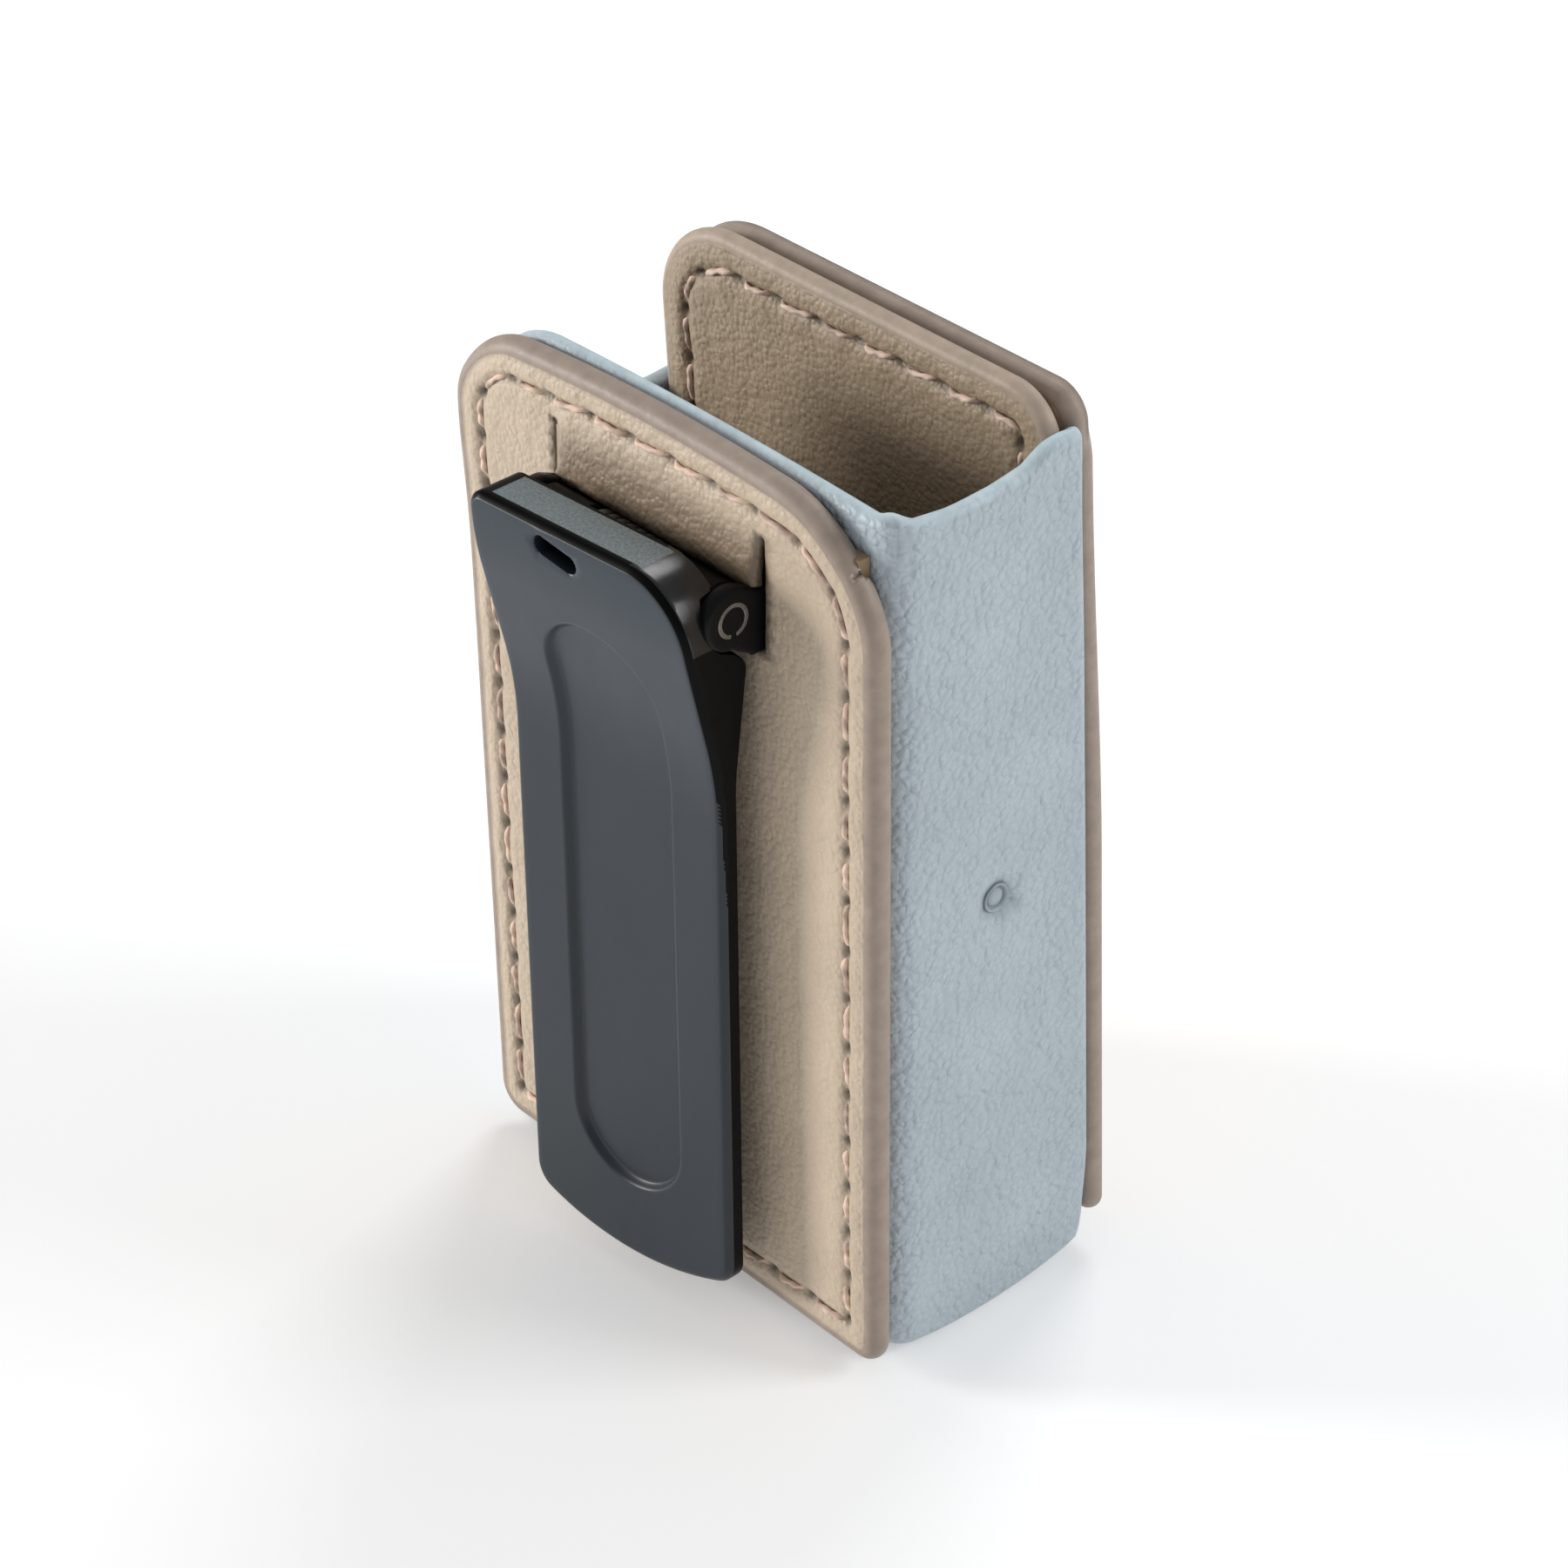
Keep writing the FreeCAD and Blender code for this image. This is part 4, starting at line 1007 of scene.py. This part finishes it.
low, high = node_box("clip_lever")
LEVER_HALF = high[0]
LEVER_BASE, LEVER_TOP = low[2], high[2]
PIN_RADIUS = 1.45
PIN = node_box("pivot_pin")[0][1:] + PIN_RADIUS
FACE_OUT, FOOT_OUT, FLARE_OUT = 4.75, 5.05, 7.85
FLARE_START, FLARE_END = 48.6, 62.3
ARM_THICK, BLOCK_BACK, CHEEK_INSIDE = 1.65, 3.5, 9.2
EAR_ROOM, FOOT_RADIUS = 2.8, 24.0
SPRING_HALF, SPRING_WALL, SPRING_LOW, SPRING_HIGH = 4.6, -5.8, 57.6, 65.0
LEVER_YAW = math.radians(4.2)
LEVER_CREASE = 38


def bent_line(points, radii):
    """A line through points whose inner corners are rounded, as (height, depth) pairs."""
    points = [np.array(p, float) for p in points]
    result = [points[0]]
    for before, corner, after, radius in zip(points, points[1:], points[2:], radii):
        a = (before - corner) / np.linalg.norm(before - corner)
        b = (after - corner) / np.linalg.norm(after - corner)
        half = math.acos(np.clip(a @ b, -1, 1)) / 2
        reach = radius / math.tan(half)
        start, end = corner + a * reach, corner + b * reach
        for share in np.linspace(0, 1, 24):
            first = start + (corner - start) * share
            second = corner + (end - corner) * share
            result.append(first + (second - first) * share)
    result.append(points[-1])
    return np.array(result).T


face_line = bent_line([(-2, -FOOT_OUT), (FLARE_START, -FACE_OUT), (FLARE_END, -FLARE_OUT),
                       (70, -FLARE_OUT)], (34.0, 27.0))
cheek_line = bent_line([(-2, -FOOT_OUT + ARM_THICK), (FLARE_START, -FACE_OUT + ARM_THICK),
                        (57.9, -1.9), (59.7, -BLOCK_BACK), (70, -BLOCK_BACK)],
                       (20.0, 0.7, 0.7))
roof_line = bent_line([(-2, -FOOT_OUT + ARM_THICK), (FLARE_START + 0.7, -3.1),
                       (FLARE_START + 1.0, -3.35), (52.6, -4.05), (59.4, -5.5),
                       (59.8, -BLOCK_BACK), (70, -BLOCK_BACK)], (0.2, 0.2, 4.0, 0.1, 0.1))

foot_centre = LEVER_BASE + FOOT_RADIUS
foot_corner, left_thumb, right_thumb = 2.5, 1.4, 5.4
corner_x = LEVER_HALF - foot_corner
corner_z = foot_centre - math.sqrt((FOOT_RADIUS - foot_corner) ** 2 - corner_x**2)
swing = math.degrees(math.atan2(corner_z - foot_centre, corner_x))
outline_points = arc((0, foot_centre), FOOT_RADIUS, -180 - swing, swing, 0.35)
outline_points += arc((corner_x, corner_z), foot_corner, swing, 0, 0.2)
for side, thumb, start in ((1, right_thumb, 0), (-1, left_thumb, 90)):
    middle = (side * (LEVER_HALF - thumb), LEVER_TOP - thumb)
    outline_points += arc(middle, thumb, start, start + 90, 0.2)
outline_points += arc((-corner_x, corner_z), foot_corner, 180, 180 - swing, 0.2)
lever_outline = spaced(outline_points, 0.35)
BEVEL = 0.5
DISH_HALF = 5.5
DISH_LOW, DISH_HIGH, DISH_DEPTH = 7.8, 58.1, 0.6
dish_start, dish_end = (0.0, DISH_LOW + DISH_HALF), (0.0, DISH_HIGH - DISH_HALF)
hole_start, hole_end = (-3.1, 64.1), (-0.5, 63.6)
HOLE_HALF, HOLE_DEEP = 0.76, 2.2
BEVEL_STEPS = (0.0, 0.07, 0.16, BEVEL - 0.1, BEVEL, BEVEL + 0.14)
loops = [shifted_loop(lever_outline, i) for i in BEVEL_STEPS + (1.1,)]
for extra in (0.3, 0.12, 0.0, -0.12, -0.26, -0.4, -0.6, -1.1):
    loops.append(slot_loop(dish_start, dish_end, DISH_HALF + extra, 0.35))
for extra in (0.12, 0.0, -0.08, -0.2, -0.36):
    loops.append(slot_loop(hole_start, hole_end, HOLE_HALF + extra, 0.2))
flat, faces, outline, cuts = triangulate(loops, 0.7)
x, z = flat.T
rim_gap, _ = nearest(spaced(lever_outline, 0.08), x, z)
bevel = np.interp(rim_gap, BEVEL_STEPS, (BEVEL, BEVEL - 0.12, BEVEL - 0.24, 0.07, 0.02, 0.0))
bevel[outline] = BEVEL
in_dish = slot_distance(x, z, dish_start, dish_end, DISH_HALF)
dish = DISH_DEPTH * smooth((in_dish + 0.12) / 0.52)
in_hole = slot_distance(x, z, hole_start, hole_end, HOLE_HALF)
hole = HOLE_DEEP * smooth((in_hole + 0.02) / 0.22) - 0.04 * hump(in_hole, -0.3, 0.15)
front = np.interp(z, *face_line) + bevel + dish + hole
front += 0.02 * waves(x, z, 20.0, 71) * smooth(rim_gap)
cheek = np.interp(z, *cheek_line)
roof = np.interp(z, *roof_line)
outside = smooth((np.abs(x) - CHEEK_INSIDE + 0.15) / 0.3)
back = roof * (1 - outside) + cheek * outside
ear_gap = np.abs(z - PIN[1])
notch = PIN[0] - PANEL_FACE - np.sqrt(np.maximum(EAR_ROOM**2 - ear_gap**2, 0))
in_notch = (ear_gap < EAR_ROOM) & (np.abs(x) > CHEEK_INSIDE + 0.05)
back = np.where(in_notch, np.minimum(back, notch), back)
in_room = (np.abs(x) < SPRING_HALF) & (z > SPRING_LOW) & (z < SPRING_HIGH)
back = np.where(in_room, np.minimum(back, SPRING_WALL), back)
back -= 0.25 * smooth((0.3 - rim_gap) / 0.3)
back = np.maximum(back, front + 0.3)
lever_shell = slab(flat, faces, outline, cuts, front, back, True, (0.1, 0.92))
barrel = [(1.53, 4.7), (2.05, 4.7), (2.2, 4.85), (2.2, 9.0), (2.05, 9.15), (1.53, 9.15)]
barrel_parts = [
    revolve([(r, sign * along) for r, along in barrel],
            (0, PIN[0] - PANEL_FACE, PIN[1]), parts=40)
    for sign in (1, -1)
]
points = lever_shell[0]
points[:, 1] += math.tan(LEVER_YAW) * points[:, 0]
points[:, 2] += 0.06 * points[:, 0] * smooth((10.0 - points[:, 2]) / 9.0)
# Off the flat face the bevel takes the black side finish as a painted dark edge, except a strip
# along the lower right, which keeps the grey face finish as a painted highlight.
on_face = (rim_gap[faces] > BEVEL - 0.12).all(axis=1)
narrow = (BEVEL + 0.1) * smooth((z[faces].mean(axis=1) - 36.0) / 22.0)
right_edge = (x[faces] > LEVER_HALF - 1.6).all(axis=1) & (rim_gap[faces].mean(axis=1) > narrow)
face_slots = np.where(on_face | right_edge, 0, 1)
slots = [int(slot) for slot in face_slots] + [1] * len(faces)
for number, side_face in enumerate(lever_shell[1][len(slots):]):
    middle = lever_shell[0][list(side_face)].mean(axis=0)
    inner_row = number // len(outline) == 1
    # Slot 2 paints the block's top the lit grey.
    on_top = left_thumb + 0.3 < middle[0] + LEVER_HALF < 2 * LEVER_HALF - right_thumb + 0.7
    on_top = on_top and middle[2] > LEVER_TOP - 0.5
    on_corner = middle[2] > LEVER_TOP - right_thumb and middle[0] > LEVER_HALF - right_thumb
    slots.append(2 if inner_row and on_top else 3 if on_corner else 1)
verts, solid = joined([lever_shell] + barrel_parts)
slots += [1] * (len(solid) - len(slots))
count = len(flat)
rubs_and_sheen, dark = np.zeros(len(verts)), np.zeros(len(verts))
# Painted sheen: the face pales towards the top, with a pale painted highlight round the dish's
# rim.
rubs_and_sheen[:count] = 0.25 * hump(in_dish, -0.15, 0.1) + 0.9 * smooth((z - 30.0) / 36.0)
# Painted shade: a dark line along the bevel, faint along the lower right, and a dark hole.
right_low = smooth((x - LEVER_HALF + 3.0) / 1.0) * smooth((57.5 - z) / 14.0)
dark[:count] = smooth((BEVEL + 0.05 - rim_gap) / 0.15) * (1 - 0.75 * right_low)
dark[:count] = np.maximum(dark[:count], smooth((in_hole + 0.05) / 0.15))
lever = new_piece("lever_shell", verts, solid, [SATIN, SIDES, LIT_TOP, GLOSS],
                  {"edge": rubs_and_sheen, "dark": dark}, LEVER_CREASE, slots)
stand(lever, "clip_lever", shift_mm(y=PANEL_FACE), "lever")

# ---- clip base, pin ----

EAR_RADIUS, EAR_NEAR, EAR_FAR = 2.4, 9.4, 10.7
BASE_LOW, BASE_HIGH = 58.4, WINDOW_TOP - 0.1
PLATE_LOW, PLATE_HIGH = 52.6, 66.1
pin_y, pin_z = PIN[0] - PANEL_FACE, PIN[1]
ear_points = [(0.6, BASE_HIGH), (-0.1, BASE_HIGH)]
ear_points += arc((pin_y, pin_z), EAR_RADIUS, 75, 270, 0.2)
ear_points += [(-1.2, BASE_LOW + 0.3), (-0.9, BASE_LOW), (0.6, BASE_LOW)]
ear_outline = spaced(ear_points, 0.2)
ear_parts = []
ear_loops = [shifted_loop(ear_outline, i) for i in (0, 0.08, 0.18, 0.3)]
flat, faces, outline, cuts = triangulate(ear_loops, 0.4)
gap, _ = nearest(spaced(ear_outline, 0.05), *flat.T)
round_off = np.interp(gap, [0, 0.08, 0.18, 0.3], [0.2, 0.09, 0.02, 0.0])
for sign in (1, -1):
    skins = slab(flat, faces, outline, cuts, EAR_FAR - round_off, EAR_NEAR + round_off, True)
    turned = skins[0][:, [1, 0, 2]]
    turned[:, 0] *= sign
    ear_parts.append((turned, skins[1]))


def block(x0, x1, y0, y1, z0, z1, soft):
    """A box with rounded front edges."""
    rect = (x0, x1, z0, z1)
    radii = (soft * 2,) * 4
    insets = [0, soft * 0.3, soft * 0.7, soft]
    loops = [inset_loop(rect, radii, i, 0.5) for i in insets]
    flat, faces, outline, cuts = triangulate(loops, 1.0)
    ease = rolled(np.maximum(edge_distance(*flat.T, rect, radii), 0), soft)
    return slab(flat, faces, outline, cuts, y0 + ease, y1 - ease, True)


boss = block(-EAR_FAR, EAR_FAR, -0.15, 1.4, BASE_LOW, BASE_HIGH, 0.2)
plate = block(-EAR_FAR, EAR_FAR, 1.05, 2.05, PLATE_LOW, PLATE_HIGH, 0.15)
verts, faces = joined(ear_parts + [boss, plate])
base = new_piece("clip_base_moulding", verts, faces, BLACK, sharp=LEVER_CREASE)
stand(base, "clip_base", shift_mm(y=PANEL_FACE))

tube = [(0.95, -10.62), (1.05, -10.72), (1.33, -10.72), (PIN_RADIUS, -10.6), (PIN_RADIUS, 10.6),
        (1.33, 10.72), (1.05, 10.72), (0.95, 10.62)]
verts, faces = revolve(tube, (0, PIN[0], PIN[1]), -78, 258, 56)
pin = new_piece("rolled_pin", verts, faces, STEEL, sharp=LEVER_CREASE)
stand(pin, "pivot_pin")

# ---- CAD parts that stay, with better materials ----

KEPT = {
    "front_board": BOARD, "inner_back_board": BOARD, "outer_back_board": BOARD,
    "bottom_board": BOARD, "rivet_washers": STEEL, "torsion_spring": STEEL,
}
for name, material in KEPT.items():
    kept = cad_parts[name]
    kept.data.materials.clear()
    kept.data.materials.append(material)

# ---- floor, lights, camera ----

FLOOR_SIZE, FLOOR_GAP = 6.0, 0.00005
scene = bpy.context.scene
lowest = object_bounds()[0][2]
bpy.ops.mesh.primitive_plane_add(size=FLOOR_SIZE, location=(0, 0, lowest - FLOOR_GAP))
floor = bpy.context.object
floor.name = "studio_floor"
paper = Nodes("studio_paper", Roughness=0.9, Specular_IOR_Level=0.1, Emission_Strength=0.2)
paper.shader.inputs["Emission Color"].default_value = (1, 1, 1, 1)
cloud = paper.ramp(paper.noise(60.0, 2.0), 0.3, 0.7)
tone = paper.mix(cloud, (0.88, 0.88, 0.88, 1), (0.9, 0.9, 0.9, 1))
floor.data.materials.append(paper.finish(tone))

scene.world = bpy.data.worlds.new("studio")
scene.world.use_nodes = True
sky = scene.world.node_tree.nodes["Background"]
sky.inputs["Color"].default_value = (0.97, 0.98, 1.0, 1)
sky.inputs["Strength"].default_value = 0.44

TARGET = Vector((0.0, -1.0, 36.0)) * MM


def soft_light(name, place, size, power, tint=(1, 1, 1)):
    """A square soft box that faces the object."""
    data = bpy.data.lights.new(name, "AREA")
    data.shape = "SQUARE"
    data.size = size
    data.energy = power
    data.color = tint
    light = bpy.data.objects.new(name, data)
    light.location = place
    light.rotation_euler = (TARGET - light.location).to_track_quat("-Z", "Y").to_euler()
    scene.collection.objects.link(light)


soft_light("key_left", (-0.72, -0.61, 0.24), 0.25, 6.7, (1.0, 0.985, 0.96))
soft_light("fill_right", (0.52, 0.42, 0.42), 0.3, 2.3, (0.97, 0.985, 1.0))
soft_light("top_back", (-0.25, 0.5, 0.75), 0.3, 2.0)

AZIMUTH, ELEVATION, ROLL = math.radians(48.29), math.radians(34.49), math.radians(-0.77)
AIM = Vector((-8.805, 6.605, 28.670)) * MM
DISTANCE = 341.06 * MM
LENS = 101.336
backward = Vector((math.sin(AZIMUTH) * math.cos(ELEVATION),
                   -math.cos(AZIMUTH) * math.cos(ELEVATION), math.sin(ELEVATION)))
level_right = Vector((math.cos(AZIMUTH), math.sin(AZIMUTH), 0))
level_up = backward.cross(level_right)
right = level_right * math.cos(ROLL) + level_up * math.sin(ROLL)
upward = level_up * math.cos(ROLL) - level_right * math.sin(ROLL)
camera_data = bpy.data.cameras.new("camera")
camera_data.lens = LENS
camera_data.sensor_width = 36.0
camera_data.clip_start = 0.01
camera_data.clip_end = 20.0
camera = bpy.data.objects.new("camera", camera_data)
turn = Matrix((right, upward, backward)).transposed().to_4x4()
camera.matrix_world = Matrix.Translation(AIM + backward * DISTANCE) @ turn
scene.collection.objects.link(camera)
scene.camera = camera
scene.view_settings.view_transform = "Standard"
